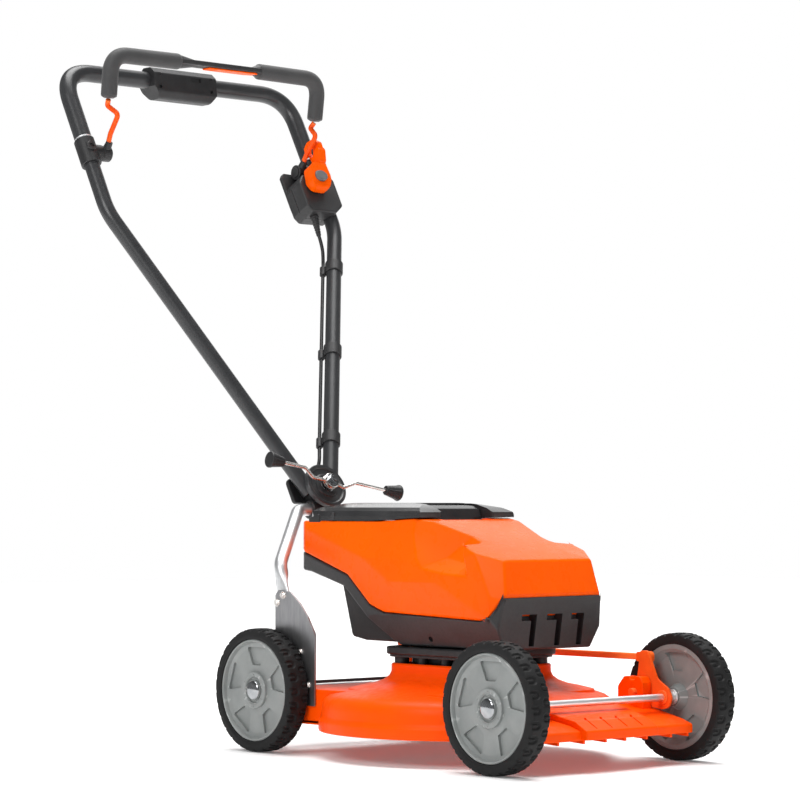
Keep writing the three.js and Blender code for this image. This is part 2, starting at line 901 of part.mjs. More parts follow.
function addHandleSupport() {
  add("plate_left", sidePlate(), STEEL);
  add("plate_right", mirrored(sidePlate()), STEEL);
  add("handle_arch", handleArch(), ALUMINIUM);
  add("clamp_bracket", clampBracket(), BLACK_PLASTIC);
  add("clamp_disc", clampDisc(), TUBE_PAINT);
  add("clamp_bolt", clampBolt(), CHROME);
  add("wing_lever", wingLever(), CHROME);
  add("lever_knob_left", leverKnob(1), BLACK_PLASTIC);
  add("lever_knob_right", leverKnob(-1), BLACK_PLASTIC);
}

// ---- handle ----
function lowerTube() {
  const corners = [
    [...onHandle(lowerTubeX(LOWER_FOOT_UP), LOWER_FOOT_UP), 0],
    [...onHandle(HANDLE_HALF, LOWER_BEND_UP), 110],
    [...onHandle(HANDLE_HALF, JOINT_UP - GAP), 0],
  ];
  return tube(rounded(corners), LOWER_TUBE, 14);
}

function upperTube() {
  const corners = [
    [...onHandle(-HANDLE_HALF, JOINT_UP), 0],
    [...onHandle(-HANDLE_HALF, TOP_BAR_UP), 62],
    [...onHandle(HANDLE_HALF, TOP_BAR_UP), 62],
    [...onHandle(HANDLE_HALF, JOINT_UP), 0],
  ];
  return tube(rounded(corners), UPPER_TUBE, 14);
}

// A spigot on each side carries the bail's collar.
function bailSpigot(sign, rootX) {
  const root = onHandle(sign * rootX, BAIL_PIVOT_UP);
  const shoulder = onHandle(sign * SPIGOT_ROOT, BAIL_PIVOT_UP);
  const tip = onHandle(sign * SPIGOT_TIP, BAIL_PIVOT_UP);
  return joined(bar(root, shoulder, 14, 12), bar(shoulder, tip, 9, 12));
}

function tubeKnuckle() {
  const top = onHandle(-HANDLE_HALF, JOINT_UP - 1);
  const sleeve = bar(onHandle(-HANDLE_HALF, 611), top, KNUCKLE_RADIUS, 16);
  const bore = bar(onHandle(-HANDLE_HALF, 600), onHandle(-HANDLE_HALF, 700), LOWER_TUBE + GAP, 16);
  return joined(sleeve, bailSpigot(-1, 240)).subtract(bore);
}

function controlBox() {
  const outer = HANDLE_HALF + KNUCKLE_RADIUS;
  const lowBox = handleBlock(176, outer, 540, 615, -22, 24);
  const highBox = handleBlock(226, outer - 2, 600, 656, -20, 22);
  const bore = bar(onHandle(HANDLE_HALF, 500), onHandle(HANDLE_HALF, 700), LOWER_TUBE + 0.5, 18);
  return joined(lowBox, highBox, bailSpigot(1, 228)).subtract(bore);
}

// The open hook above the start lever's head, which stands beside the bail's rod.
function startLeverHook() {
  const outside = [
    [628, 26],
    [628, 46],
    [648, 57],
    [664, 58],
    [676, 48],
    [680, 32],
    [674, 19],
    [662, 16.5],
    [658, 23],
    [640, 25.6],
  ];
  const inside = [
    [648, 34],
    [650, 46],
    [661, 49],
    [669, 42],
    [671, 31],
    [665, 25],
    [656, 27],
  ];
  const outline = (corners) => shapeOf(corners.map(([up, out]) => onHandle(0, up, out).slice(1)));
  return alongX(outline(outside), 218, 228).subtract(alongX(outline(inside), 210, 240));
}

function startLever() {
  const outline = [
    [570, 27.5],
    [590, 25.6],
    [636, 25.6],
    [638, 34],
    [622, 46],
    [600, 48],
    [574, 40],
  ];
  const points = outline.map(([up, out]) => onHandle(0, up, out).slice(1));
  const button = bar(onHandle(208, 610, 42), onHandle(208, 610, 60), 9, 14);
  const head = alongX(shapeOf(points), 189, 226).subtract(button);
  return head.add(startLeverHook());
}

function startButton() {
  return bar(onHandle(208, 610, 45.5), onHandle(208, 610, 50.5), 8.4, 14);
}

function consoleBox() {
  const top = onHandle(0, TOP_BAR_UP);
  const shape = shapeOf([
    [top[1] - 30, top[2] - 24],
    [top[1] - 22, top[2] - 33],
    [top[1] + 8, top[2] - 33],
    [top[1] + 18, top[2] - 20],
    [top[1] + 18, top[2] + 12],
    [top[1] + 8, top[2] + 22],
    [top[1] - 14, top[2] + 22],
    [top[1] - 27, top[2] + 10],
  ]);
  const bore = bar([-100, top[1], top[2]], [100, top[1], top[2]], UPPER_TUBE + 0.5, 14);
  return alongX(shape, -CONSOLE_HALF, CONSOLE_HALF).subtract(bore);
}

function addHandle() {
  add("lower_tube_left", lowerTube(), TUBE_PAINT);
  add("lower_tube_right", mirrored(lowerTube()), TUBE_PAINT);
  add("upper_tube", upperTube(), TUBE_PAINT);
  add("tube_knuckle_right", tubeKnuckle(), BLACK_PLASTIC);
  add("control_box", controlBox(), DARK_PLASTIC);
  add("start_lever", startLever(), ORANGE);
  add("start_button", startButton(), DARK_PLASTIC);
  add("console", consoleBox(), BLACK_PLASTIC);
}

// ---- bail: the bar that is held against the handle to keep the blade turning ----
const BAIL_TOP = [622, 1119];
const BAIL_END = [631, 1047];

function bailGrip() {
  const right = [
    [-219, ...BAIL_END, 0],
    [-220, ...BAIL_TOP, 32],
  ];
  const left = right.map(([x, ...rest]) => [-x, ...rest]).reverse();
  const grip = tube(rounded([...right, ...left], 4), BAIL_RADIUS, 12);
  const plateOutline = shapeOf([
    [-94, 626],
    [-70, 606],
    [70, 606],
    [94, 626],
    [60, 637],
    [-60, 637],
  ]);
  return grip.add(alongZ(plateOutline, 1118, 1128));
}

function bailRod(sign) {
  const pivot = onHandle(sign * 207, BAIL_PIVOT_UP);
  const path = rounded(
    [
      [sign * 219, 632, BAIL_END[1] - 4, 0],
      [sign * 216, 639, 1036, 4],
      [sign * 210, 616, 1020, 8],
      [sign * 209, 640, 990, 8],
      [pivot[0], pivot[1] - 7, pivot[2] + 9, 0],
    ],
    3,
  );
  const ring = bar(
    onHandle(sign * (SPIGOT_TIP + 2), BAIL_PIVOT_UP),
    onHandle(sign * (SPIGOT_ROOT - 2 * GAP), BAIL_PIVOT_UP),
    13,
    12,
  );
  const bore = bar(
    onHandle(sign * (SPIGOT_TIP - 5), BAIL_PIVOT_UP),
    onHandle(sign * (SPIGOT_ROOT + 4), BAIL_PIVOT_UP),
    9 + 2 * GAP,
    12,
  );
  return joined(tube(path, BAIL_ROD, 6), ring).subtract(bore);
}

function addBail() {
  add("bail_grip", bailGrip(), BLACK_PLASTIC);
  add("bail_rod_left", bailRod(1), ORANGE_STEEL);
  add("bail_rod_right", bailRod(-1), ORANGE_STEEL);
}

// ---- control cable ----
// The cable runs inside and behind the left lower tube, at a steady distance from its centre.
function cableBeside(up) {
  const aside = CABLE_OFFSET * 0.82;
  const behind = CABLE_OFFSET * 0.57;
  return onHandle(lowerTubeX(up) - aside / Math.cos(0.398), up, -behind);
}

function strainRelief() {
  return bar(onHandle(200, 538.5, 5), onHandle(200, 505, 0), 6.5, 10, 4.5);
}

function cableUpper() {
  const points = [
    onHandle(200, 504.5, 0),
    onHandle(200.5, 490, -2),
    onHandle(201, 475, -6),
    cableBeside(455),
    ...CLIP_UPS.map(cableBeside),
    cableBeside(60),
    onHandle(22, 42, -21),
    onHandle(16, 39, -25),
  ];
  return tube(points, CABLE_RADIUS, 8);
}

function cableLower() {
  const points = [
    onHandle(15.2, 37.6, -27.6),
    onHandle(14, 34, -29),
    onHandle(14, 12, -31),
    [18, 377, 376],
    [26, 366, 350],
    [34, 340, 331],
    [38, 312, 324],
    [38, 285.6, 322],
  ];
  return tube(points, CABLE_RADIUS, 8);
}

function cableClip(up) {
  const along = 10;
  const tubeEnds = [up - along, up + along].map((at) => onHandle(lowerTubeX(at), at));
  const cableEnds = [up - along, up + along].map(cableBeside);
  const farTube = [up - 30, up + 30].map((at) => onHandle(lowerTubeX(at), at));
  const farCable = [up - 30, up + 30].map(cableBeside);
  return joined(bar(...tubeEnds, 16, 10), bar(...cableEnds, 6, 8))
    .subtract(bar(...farTube, LOWER_TUBE + 1, 10))
    .subtract(bar(...farCable, CABLE_RADIUS + 2 * GAP, 6));
}

function addCable() {
  add("strain_relief", strainRelief(), BLACK_PLASTIC);
  add("control_cable_upper", cableUpper(), BLACK_PLASTIC);
  add("control_cable_lower", cableLower(), BLACK_PLASTIC);
  CLIP_UPS.forEach((up, i) => add(`cable_clip_${i + 1}`, cableClip(up), BLACK_PLASTIC));
}

addWheels();
addHeightAdjuster();
addDeck();
addCuttingDrive();
addHousing();
addHandleSupport();
addHandle();
addBail();
addCable();

export default mower;
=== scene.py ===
import json
import math

import bmesh
import bpy
from mathutils import Matrix, Vector


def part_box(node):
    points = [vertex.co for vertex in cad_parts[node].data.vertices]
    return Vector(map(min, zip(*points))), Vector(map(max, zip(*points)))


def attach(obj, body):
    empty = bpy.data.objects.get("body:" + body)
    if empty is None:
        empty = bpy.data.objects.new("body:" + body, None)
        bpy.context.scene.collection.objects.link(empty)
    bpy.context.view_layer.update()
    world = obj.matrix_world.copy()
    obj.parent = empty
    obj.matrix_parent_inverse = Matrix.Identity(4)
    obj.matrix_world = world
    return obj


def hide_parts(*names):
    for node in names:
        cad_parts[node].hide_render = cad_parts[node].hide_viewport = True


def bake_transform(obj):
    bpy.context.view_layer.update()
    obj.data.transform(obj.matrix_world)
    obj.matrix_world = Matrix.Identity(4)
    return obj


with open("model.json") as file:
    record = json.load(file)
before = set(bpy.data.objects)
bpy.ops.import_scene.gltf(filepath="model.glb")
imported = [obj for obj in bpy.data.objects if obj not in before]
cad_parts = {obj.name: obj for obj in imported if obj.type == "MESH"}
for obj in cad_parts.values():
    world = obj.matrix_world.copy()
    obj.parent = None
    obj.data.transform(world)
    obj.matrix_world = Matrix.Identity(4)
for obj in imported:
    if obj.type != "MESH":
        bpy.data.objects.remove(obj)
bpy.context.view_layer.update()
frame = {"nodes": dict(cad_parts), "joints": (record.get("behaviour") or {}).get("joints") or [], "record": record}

# Lengths are in metres. Shapes are written from under the middle of the wheelbase, which lies at
# y = MID_Y in the frame; finished pieces are moved there as they are made.
# The mower faces -Y, +X is its left side, +Z is up and the ground is z = 0.

MM = 0.001


def mm(*points):
    """Points, or corners with their radii, given in millimetres."""
    return [tuple(value * MM for value in point) for point in points]


def node_centre(node):
    low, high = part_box(node)
    return (Vector(low) + Vector(high)) / 2


JOINTS = {joint["name"]: joint for joint in frame["joints"]}
FRONT_WHEEL = node_centre("tyre_front_left")
REAR_WHEEL = node_centre("tyre_rear_left")
MID_Y = (FRONT_WHEEL.y + REAR_WHEEL.y) / 2
TYRE_R = FRONT_WHEEL.z
WHEEL_X = FRONT_WHEEL.x
HALF_BASE = (REAR_WHEEL.y - FRONT_WHEEL.y) / 2


def joint_point(name):
    point = Vector(JOINTS[name]["pos_m"])
    return point - Vector((0, MID_Y, 0))


FOLD = joint_point("handle_fold")
CLAMP = joint_point("handle_swing")
CLAMP_AXIS = Vector(JOINTS["handle_swing"]["axis"]).normalized()
UP_HANDLE = CLAMP_AXIS.cross(Vector((1, 0, 0))).normalized()
BAIL_PIVOT = joint_point("bail_press")
FRONT_PIVOT = joint_point("front_height")
REAR_PIVOT = joint_point("height_adjust")
LINK_PIN = joint_point("link_pivot")

# ---------------------------------------------------------------- mesh helpers


def make(name, bm, smooth=35.0):
    """A mesh object from bm, moved to the frame, smooth except at edges sharper than smooth degrees."""
    bmesh.ops.remove_doubles(bm, verts=bm.verts, dist=1e-6)
    bmesh.ops.recalc_face_normals(bm, faces=bm.faces)
    bmesh.ops.translate(bm, verts=bm.verts, vec=(0, MID_Y, 0))
    mesh = bpy.data.meshes.new(name)
    bm.to_mesh(mesh)
    bm.free()
    obj = bpy.data.objects.new(name, mesh)
    bpy.context.scene.collection.objects.link(obj)
    shade(obj, smooth)
    return obj


def shade(obj, smooth=35.0):
    obj.data.polygons.foreach_set("use_smooth", [True] * len(obj.data.polygons))
    obj.data.set_sharp_from_angle(angle=math.radians(smooth))


def weigh_normals(obj):
    """Keeps flats flat in the shading beside their rounded edges."""
    modifier = obj.modifiers.new("weighted", "WEIGHTED_NORMAL")
    modifier.keep_sharp = True
    applied(obj)


def dress(obj, body, material, *nodes, slot=None):
    """Puts a material on a piece, rides it on a body and hides the CAD nodes it stands for."""
    weigh_normals(obj)
    obj.data.materials.clear()
    obj.data.materials.append(material)
    if body:
        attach(obj, body)
    if nodes:
        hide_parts(*nodes)
    return obj


def applied(obj):
    """Applies the object's modifiers to its mesh."""
    depsgraph = bpy.context.evaluated_depsgraph_get()
    mesh = bpy.data.meshes.new_from_object(obj.evaluated_get(depsgraph))
    obj.modifiers.clear()
    old = obj.data
    obj.data = mesh
    bpy.data.meshes.remove(old)
    return obj


def bevel(obj, width, segments=3, angle=28.0, clamp=True):
    """Rounds the edges sharper than an angle."""
    modifier = obj.modifiers.new("bevel", "BEVEL")
    modifier.use_clamp_overlap = clamp
    modifier.width = width
    modifier.segments = segments
    modifier.limit_method = "ANGLE"
    modifier.angle_limit = math.radians(angle)
    applied(obj)
    shade(obj)
    return obj


def combine(obj, other, operation):
    modifier = obj.modifiers.new("boolean", "BOOLEAN")
    modifier.operation = operation
    modifier.solver = "EXACT"
    modifier.object = other
    applied(obj)
    bpy.data.objects.remove(other)
    return obj


def cut(obj, *others):
    for other in others:
        combine(obj, other, "DIFFERENCE")
    return obj


def welded(obj, *others):
    for other in others:
        combine(obj, other, "UNION")
    return obj


def tidy_faces(obj, angle=0.6, near=2e-5):
    """Joins the flat triangles and the close points that booleans leave."""
    bm = bmesh.new()
    bm.from_mesh(obj.data)
    bmesh.ops.remove_doubles(bm, verts=bm.verts, dist=near)
    bmesh.ops.dissolve_limit(
        bm, angle_limit=math.radians(angle), verts=bm.verts, edges=bm.edges
    )
    bm.to_mesh(obj.data)
    bm.free()
    return obj


def join(name, *objects):
    """Joins objects into one piece, keeping each shell closed."""
    bm = bmesh.new()
    for obj in objects:
        bm.from_mesh(obj.data)
        bpy.data.objects.remove(obj)
    mesh = bpy.data.meshes.new(name)
    bm.to_mesh(mesh)
    bm.free()
    whole = bpy.data.objects.new(name, mesh)
    bpy.context.scene.collection.objects.link(whole)
    shade(whole)
    return whole


def mirrored(obj, name):
    mesh = obj.data.copy()
    mesh.transform(Matrix.Scale(-1, 4, (1, 0, 0)))
    mesh.flip_normals()
    twin = bpy.data.objects.new(name, mesh)
    bpy.context.scene.collection.objects.link(twin)
    return twin


def ring_mesh(bm, rings, closed_ends=True, loop=False):
    """Skins a list of rings, each a list of points, and caps or joins the ends."""
    made = [[bm.verts.new(point) for point in ring] for ring in rings]
    pairs = list(zip(made, made[1:]))
    if loop:
        pairs.append((made[-1], made[0]))
    for first, second in pairs:
        count = len(first)
        for i in range(count):
            j = (i + 1) % count
            bm.faces.new((first[i], first[j], second[j], second[i]))
    if closed_ends and not loop:
        bm.faces.new(made[0])
        bm.faces.new(made[-1])
    return made


def turned(name, profile, centre=(0, 0, 0), axis=(0, 0, 1), sides=96, smooth=35.0):
    """A profile of (radius, height) pairs in millimetres, turned about an axis through centre."""
    turn = Vector(axis).to_track_quat("Z", "Y").to_matrix().to_4x4()
    move = Matrix.Translation(centre) @ turn
    bm = bmesh.new()
    rings = []
    for radius, height in mm(*profile):
        ring = []
        for i in range(sides):
            angle = 2 * math.pi * i / sides
            flat = (radius * math.cos(angle), radius * math.sin(angle), height)
            ring.append(move @ Vector(flat))
        rings.append(ring)
    closed = profile[0] == profile[-1]
    ring_mesh(bm, rings[:-1] if closed else rings, loop=closed)
    return make(name, bm, smooth)


def bar(name, start, end, radius, end_radius=None, sides=32, smooth=35.0):
    """A round bar or cone between two points, with a small chamfer at both ends."""
    end_radius = end_radius or radius
    start = Vector(start)
    run = Vector(end) - start
    turn = run.to_track_quat("Z", "Y").to_matrix().to_4x4()
    move = Matrix.Translation(start) @ turn
    edge = min(0.0006, radius * 0.15, run.length * 0.2)
    profile = [
        (radius - edge, 0),
        (radius, edge),
        (end_radius, run.length - edge),
        (end_radius - edge, run.length),
    ]
    bm = bmesh.new()
    rings = []
    for r, h in profile:
        angles = [2 * math.pi * i / sides for i in range(sides)]
        rings.append([move @ Vector((r * math.cos(a), r * math.sin(a), h)) for a in angles])
    ring_mesh(bm, rings)
    return make(name, bm, smooth)


def rounded_path(corners, steps=10):
    """Rounds the corners of a chain of points: each corner is (point, bend radius)."""
    path = []
    for i, (corner, radius) in enumerate(corners):
        corner = Vector(corner)
        if not radius:
            path.append(corner)
            continue
        back = (Vector(corners[i - 1][0]) - corner).normalized()
        ahead = (Vector(corners[i + 1][0]) - corner).normalized()
        half = back.angle(ahead) / 2
        trim = radius / math.tan(half)
        start = corner + back * trim
        end = corner + ahead * trim
        for k in range(steps + 1):
            t = k / steps
            path.append(start * (1 - t) ** 2 + corner * 2 * t * (1 - t) + end * t * t)
    return path


def finely(path, step):
    """The same path with a point about every step or closer."""
    dense = []
    for a, b in zip(path, path[1:]):
        count = max(1, int((b - a).length / step))
        dense += [a.lerp(b, k / count) for k in range(count)]
    return dense + [path[-1]]


def smooth_path(points, steps=6):
    """A Catmull-Rom curve through the points."""
    points = [Vector(p) for p in points]
    ends = [2 * points[0] - points[1]] + points + [2 * points[-1] - points[-2]]
    path = []
    for a, b, c, d in zip(ends, ends[1:], ends[2:], ends[3:]):
        for k in range(steps):
            t = k / steps
            path.append(
                0.5 * (2 * b + (c - a) * t + (2 * a - 5 * b + 4 * c - d) * t**2
                       + (3 * b - a - 3 * c + d) * t**3)
            )
    path.append(points[-1])
    return path


def swept(name, path, radius, sides=32, smooth=40.0):
    """A round tube along a path. radius is a number or a function of the share of the path."""
    size = radius if callable(radius) else (lambda share: radius)
    tangents = []
    for i in range(len(path)):
        tangents.append((path[min(i + 1, len(path) - 1)] - path[max(i - 1, 0)]).normalized())
    side = tangents[0].orthogonal().normalized()
    rings = []
    for i, (point, tangent) in enumerate(zip(path, tangents)):
        side = (side - tangent * side.dot(tangent)).normalized()
        other = tangent.cross(side)
        r = size(i / (len(path) - 1))
        angles = [2 * math.pi * k / sides for k in range(sides)]
        rings.append([point + side * r * math.cos(a) + other * r * math.sin(a) for a in angles])
    bm = bmesh.new()
    ring_mesh(bm, rings)
    return make(name, bm, smooth)


AXES = {
    "X": lambda u, v, w: (w, u, v),
    "Y": lambda u, v, w: (u, w, v),
    "Z": lambda u, v, w: (u, v, w),
}


def slab(name, outline, axis, low, high, smooth=20.0):
    """An outline in the plane across an axis, given thickness along that axis."""
    place = AXES[axis]
    bm = bmesh.new()
    bottom = [bm.verts.new(place(u, v, low)) for u, v in outline]
    top = [bm.verts.new(place(u, v, high)) for u, v in outline]
    bm.faces.new(bottom)
    bm.faces.new(top)
    for i in range(len(outline)):
        j = (i + 1) % len(outline)
        bm.faces.new((bottom[i], bottom[j], top[j], top[i]))
    return make(name, bm, smooth)


def on_slope(name, outline, centre, out0, out1, smooth=20.0):
    """A slab whose outline of (x, up) pairs lies in the handle's plane, between two distances out."""
    bm = bmesh.new()
    rings = []
    for out in (out0, out1):
        rings.append([on_handle(x, up, out, centre) for x, up in outline])
    ring_mesh(bm, rings)
    return make(name, bm, smooth)


def across_handle(name, outline, low, high, smooth=30):
    """A slab whose outline of (up, out) pairs stands across the handle, between two places in x."""
    bm = bmesh.new()
    ring_mesh(bm, [[on_handle(x, up, out) for up, out in outline] for x in (low, high)])
    return make(name, bm, smooth)


def rounded_outline(corners, steps=6):
    """Rounds the corners of a closed outline: each corner is (u, v) or (u, v, radius)."""
    outline = []
    count = len(corners)
    for i, corner in enumerate(corners):
        here = Vector(corner[:2])
        radius = corner[2] if len(corner) > 2 else 0
        if not radius:
            outline.append(tuple(here))
            continue
        back = Vector(corners[i - 1][:2]) - here
        ahead = Vector(corners[(i + 1) % count][:2]) - here
        limit = 0.48 * min(back.length, ahead.length)
        half = back.angle(ahead) / 2
        trim = min(limit, radius / math.tan(half))
        start = here + back.normalized() * trim
        end = here + ahead.normalized() * trim
        for k in range(steps + 1):
            t = k / steps
            outline.append(tuple(start * (1 - t) ** 2 + here * 2 * t * (1 - t) + end * t * t))
    return outline


def box(name, low, high):
    outline = [(low[0], low[1]), (high[0], low[1]), (high[0], high[1]), (low[0], high[1])]
    return slab(name, outline, "Z", low[2], high[2])


def on_handle(x, up, out=0.0, centre=None):
    """A point from the clamp: x across, up along the handle's plane, out towards the front."""
    centre = centre or CLAMP
    return Vector((x, centre.y, centre.z)) + UP_HANDLE * up + CLAMP_AXIS * out


def refined(node, width, material, angle=30.0, dissolve=1.0, segments=2):
    """Stands in for a CAD node whose form is right: the same form with its edges rounded."""
    source = frame["nodes"][node]
    bm = bmesh.new()
    bm.from_mesh(source.data)
    bmesh.ops.remove_doubles(bm, verts=bm.verts, dist=1e-6)
    bmesh.ops.dissolve_limit(
        bm, angle_limit=math.radians(dissolve), verts=bm.verts, edges=bm.edges
    )
    bmesh.ops.recalc_face_normals(bm, faces=bm.faces)
    mesh = bpy.data.meshes.new(node + "_finished")
    bm.to_mesh(mesh)
    bm.free()
    obj = bpy.data.objects.new(node + "_finished", mesh)
    bpy.context.scene.collection.objects.link(obj)
    bevel(obj, width, segments, angle)
    return dress(obj, BODY_OF[node], material, node)


def fine(obj, node, material):
    """Dresses a piece that stands for one CAD node and moves with that node's body."""
    return dress(obj, BODY_OF[node], material, node)


BODY_OF = {
    node: body
    for body, nodes in frame["record"]["behaviour"]["bodies"].items()
    for node in nodes
}

# ---------------------------------------------------------------- materials


class Finish:
    """Builds one procedural material: colour, roughness and bump worked out from object space."""

    def __init__(self, name, metallic=0.0, coat=0.0, coat_roughness=0.1, specular=0.5):
        self.material = bpy.data.materials.new(name)
        self.material.use_nodes = True
        self.tree = self.material.node_tree
        self.shader = self.tree.nodes["Principled BSDF"]
        self.shader.inputs["Metallic"].default_value = metallic
        self.shader.inputs["Coat Weight"].default_value = coat
        self.shader.inputs["Coat Roughness"].default_value = coat_roughness
        self.shader.inputs["Specular IOR Level"].default_value = specular
        self.place = self.add("ShaderNodeTexCoord").outputs["Object"]

    def add(self, kind, **values):
        node = self.tree.nodes.new(kind)
        for key, value in values.items():
            setattr(node, key, value)
        return node

    def link(self, output, target):
        self.tree.links.new(output, target)

    def noise(self, scale, detail=4.0, stretch=None, roughness=0.55):
        node = self.add("ShaderNodeTexNoise")
        node.inputs["Scale"].default_value = scale
        node.inputs["Detail"].default_value = detail
        node.inputs["Roughness"].default_value = roughness
        source = self.place
        if stretch:
            mapping = self.add("ShaderNodeMapping")
            mapping.inputs["Scale"].default_value = stretch
            self.link(source, mapping.inputs["Vector"])
            source = mapping.outputs["Vector"]
        self.link(source, node.inputs["Vector"])
        return node.outputs["Fac"]

    def cells(self, scale):
        node = self.add("ShaderNodeTexVoronoi")
        node.inputs["Scale"].default_value = scale
        self.link(self.place, node.inputs["Vector"])
        return node.outputs["Distance"]

    def spread(self, value, low, high, start=0.3, stop=0.7):
        node = self.add("ShaderNodeMapRange")
        node.inputs["From Min"].default_value = start
        node.inputs["From Max"].default_value = stop
        node.inputs["To Min"].default_value = low
        node.inputs["To Max"].default_value = high
        self.link(value, node.inputs["Value"])
        return node.outputs["Result"]

    def colours(self, value, first, second, start=0.35, stop=0.65):
        ramp = self.add("ShaderNodeValToRGB")
        ramp.color_ramp.elements[0].position = start
        ramp.color_ramp.elements[0].color = (*first, 1)
        ramp.color_ramp.elements[1].position = stop
        ramp.color_ramp.elements[1].color = (*second, 1)
        self.link(value, ramp.inputs["Fac"])
        return ramp.outputs["Color"]

    def painted_edge_highlight(self, colour, highlight_colour, low=0.52, high=0.62):
        """Mixes a painted highlight colour in along convex edges."""
        geometry = self.add("ShaderNodeNewGeometry")
        mask = self.spread(geometry.outputs["Pointiness"], 0.0, 1.0, low, high)
        mix = self.add("ShaderNodeMix", data_type="RGBA")
        self.link(mask, mix.inputs["Factor"])
        self.link(colour, mix.inputs["A"])
        mix.inputs["B"].default_value = (*highlight_colour, 1)
        return mix.outputs["Result"]

    def colour(self, output):
        self.link(output, self.shader.inputs["Base Color"])

    def roughness(self, output):
        self.link(output, self.shader.inputs["Roughness"])

    def bump(self, *heights):
        """Adds bumps of (height output, strength, distance) on top of each other."""
        last = None
        for value, strength, distance in heights:
            node = self.add("ShaderNodeBump")
            node.inputs["Strength"].default_value = strength
            node.inputs["Distance"].default_value = distance
            self.link(value, node.inputs["Height"])
            if last:
                self.link(last, node.inputs["Normal"])
            last = node.outputs["Normal"]
        self.link(last, self.shader.inputs["Normal"])


def orange_plastic():
    """Glossy moulded hood plastic with a faint flow in its colour and a slight orange peel."""
    f = Finish("orange_gloss_plastic", specular=0.08)
    flow = f.noise(9.0, 3.0)
    f.colour(f.colours(flow, (0.97, 0.100, 0.0), (1.0, 0.108, 0.0)))
    f.roughness(f.spread(f.noise(60.0, 5.0), 0.24, 0.34))
    f.bump((f.noise(420.0, 2.0), 0.05, 0.0003), (f.noise(14.0, 2.0), 0.05, 0.0016))
    return f.material


def orange_paint():
    """Powder coat on cast aluminium: orange peel over the casting's slight unevenness."""
    f = Finish("orange_powder_coat", specular=0.09)
    patch = f.noise(16.0, 4.0)
    colour = f.colours(patch, (0.94, 0.072, 0.0), (0.99, 0.080, 0.0))
    # Painted highlight: a paler orange along the convex edges.
    f.colour(f.painted_edge_highlight(colour, (1.0, 0.14, 0.01), 0.56, 0.7))
    f.roughness(f.spread(f.noise(90.0, 5.0), 0.3, 0.46))
    f.bump((f.noise(650.0, 2.0), 0.16, 0.0004), (f.noise(38.0, 3.0), 0.12, 0.0012))
    return f.material


def orange_steel():
    """Thinner, darker orange coat on steel cranks, rods and levers."""
    f = Finish("orange_steel_coat", specular=0.2)
    colour = f.colours(f.noise(45.0, 4.0), (0.80, 0.070, 0.002), (0.92, 0.095, 0.003))
    # Painted highlight: a paler orange along the convex edges.
    f.colour(f.painted_edge_highlight(colour, (1.0, 0.25, 0.06), 0.53, 0.62))
    f.roughness(f.spread(f.noise(160.0, 4.0), 0.32, 0.48))
    f.bump((f.noise(800.0, 2.0), 0.15, 0.0003))
    return f.material


def grained_plastic(name, dark, light, rough=(0.42, 0.56), grain=1500.0, depth=0.12):
    """Moulded plastic with a fine leather-like grain and painted highlights along its edges."""
    f = Finish(name, specular=0.45)
    colour = f.colours(f.noise(30.0, 5.0), dark, light)
    # Painted highlight: a paler tone of the plastic along the convex edges.
    edge_highlight = tuple(min(1.0, c * 2.2 + 0.01) for c in light)
    f.colour(f.painted_edge_highlight(colour, edge_highlight, 0.54, 0.68))
    f.roughness(f.spread(f.noise(220.0, 4.0), *rough))
    f.bump((f.cells(grain), depth, 0.00025), (f.noise(300.0, 3.0), 0.08, 0.0004))
    return f.material


def tube_paint():
    """Dark grey satin powder coat on steel tube, with fine texture and rubbed patches."""
    f = Finish("tube_powder_coat", specular=0.45)
    f.colour(f.colours(f.noise(24.0, 5.0), (0.028, 0.029, 0.031), (0.035, 0.036, 0.038)))
    f.roughness(f.spread(f.noise(130.0, 5.0), 0.28, 0.36))
    f.bump((f.noise(1100.0, 2.0), 0.05, 0.0002))
    return f.material


def rubber():
    """Black tyre rubber, a little dusty, with a dull fine grain."""
    f = Finish("tyre_rubber", specular=0.22)
    dust = f.noise(22.0, 6.0)
    f.colour(f.colours(dust, (0.007, 0.007, 0.007), (0.014, 0.014, 0.0145), 0.3, 0.75))
    f.roughness(f.spread(dust, 0.55, 0.78))
    f.bump((f.noise(900.0, 3.0), 0.3, 0.0004), (f.noise(120.0, 3.0), 0.1, 0.001))
    return f.material


def soft_grip():
    """Foam-like grip sleeve on the bail: fine pores, soft sheen."""
    f = Finish("grip_foam", specular=0.3)
    f.shader.inputs["Sheen Weight"].default_value = 0.15
    f.colour(f.colours(f.noise(30.0, 4.0), (0.048, 0.048, 0.049), (0.055, 0.055, 0.056)))
    f.roughness(f.spread(f.noise(400.0, 3.0), 0.5, 0.68))
    f.bump((f.cells(2600.0), 0.12, 0.0002), (f.noise(60.0, 2.0), 0.02, 0.0006))
    return f.material


def rim_plastic():
    """Mid-grey moulded rim with a satin grain."""
    f = Finish("rim_plastic", specular=0.5)
    colour = f.colours(f.noise(26.0, 4.0), (0.205, 0.218, 0.214), (0.245, 0.257, 0.252))
    # Painted highlight: a paler grey along the rim's convex edges.
    f.colour(f.painted_edge_highlight(colour, (0.44, 0.455, 0.45), 0.54, 0.68))
    f.roughness(f.spread(f.noise(180.0, 4.0), 0.34, 0.48))
    f.bump((f.noise(1200.0, 2.0), 0.12, 0.0003), (f.noise(60.0, 2.0), 0.05, 0.0008))
    return f.material


def chrome():
    f = Finish("chrome", metallic=1.0)
    f.colour(f.colours(f.noise(40.0, 3.0), (0.30, 0.31, 0.32), (0.42, 0.43, 0.44)))
    f.roughness(f.spread(f.noise(300.0, 4.0), 0.06, 0.16))
    f.bump((f.noise(500.0, 3.0), 0.03, 0.0003))
    return f.material


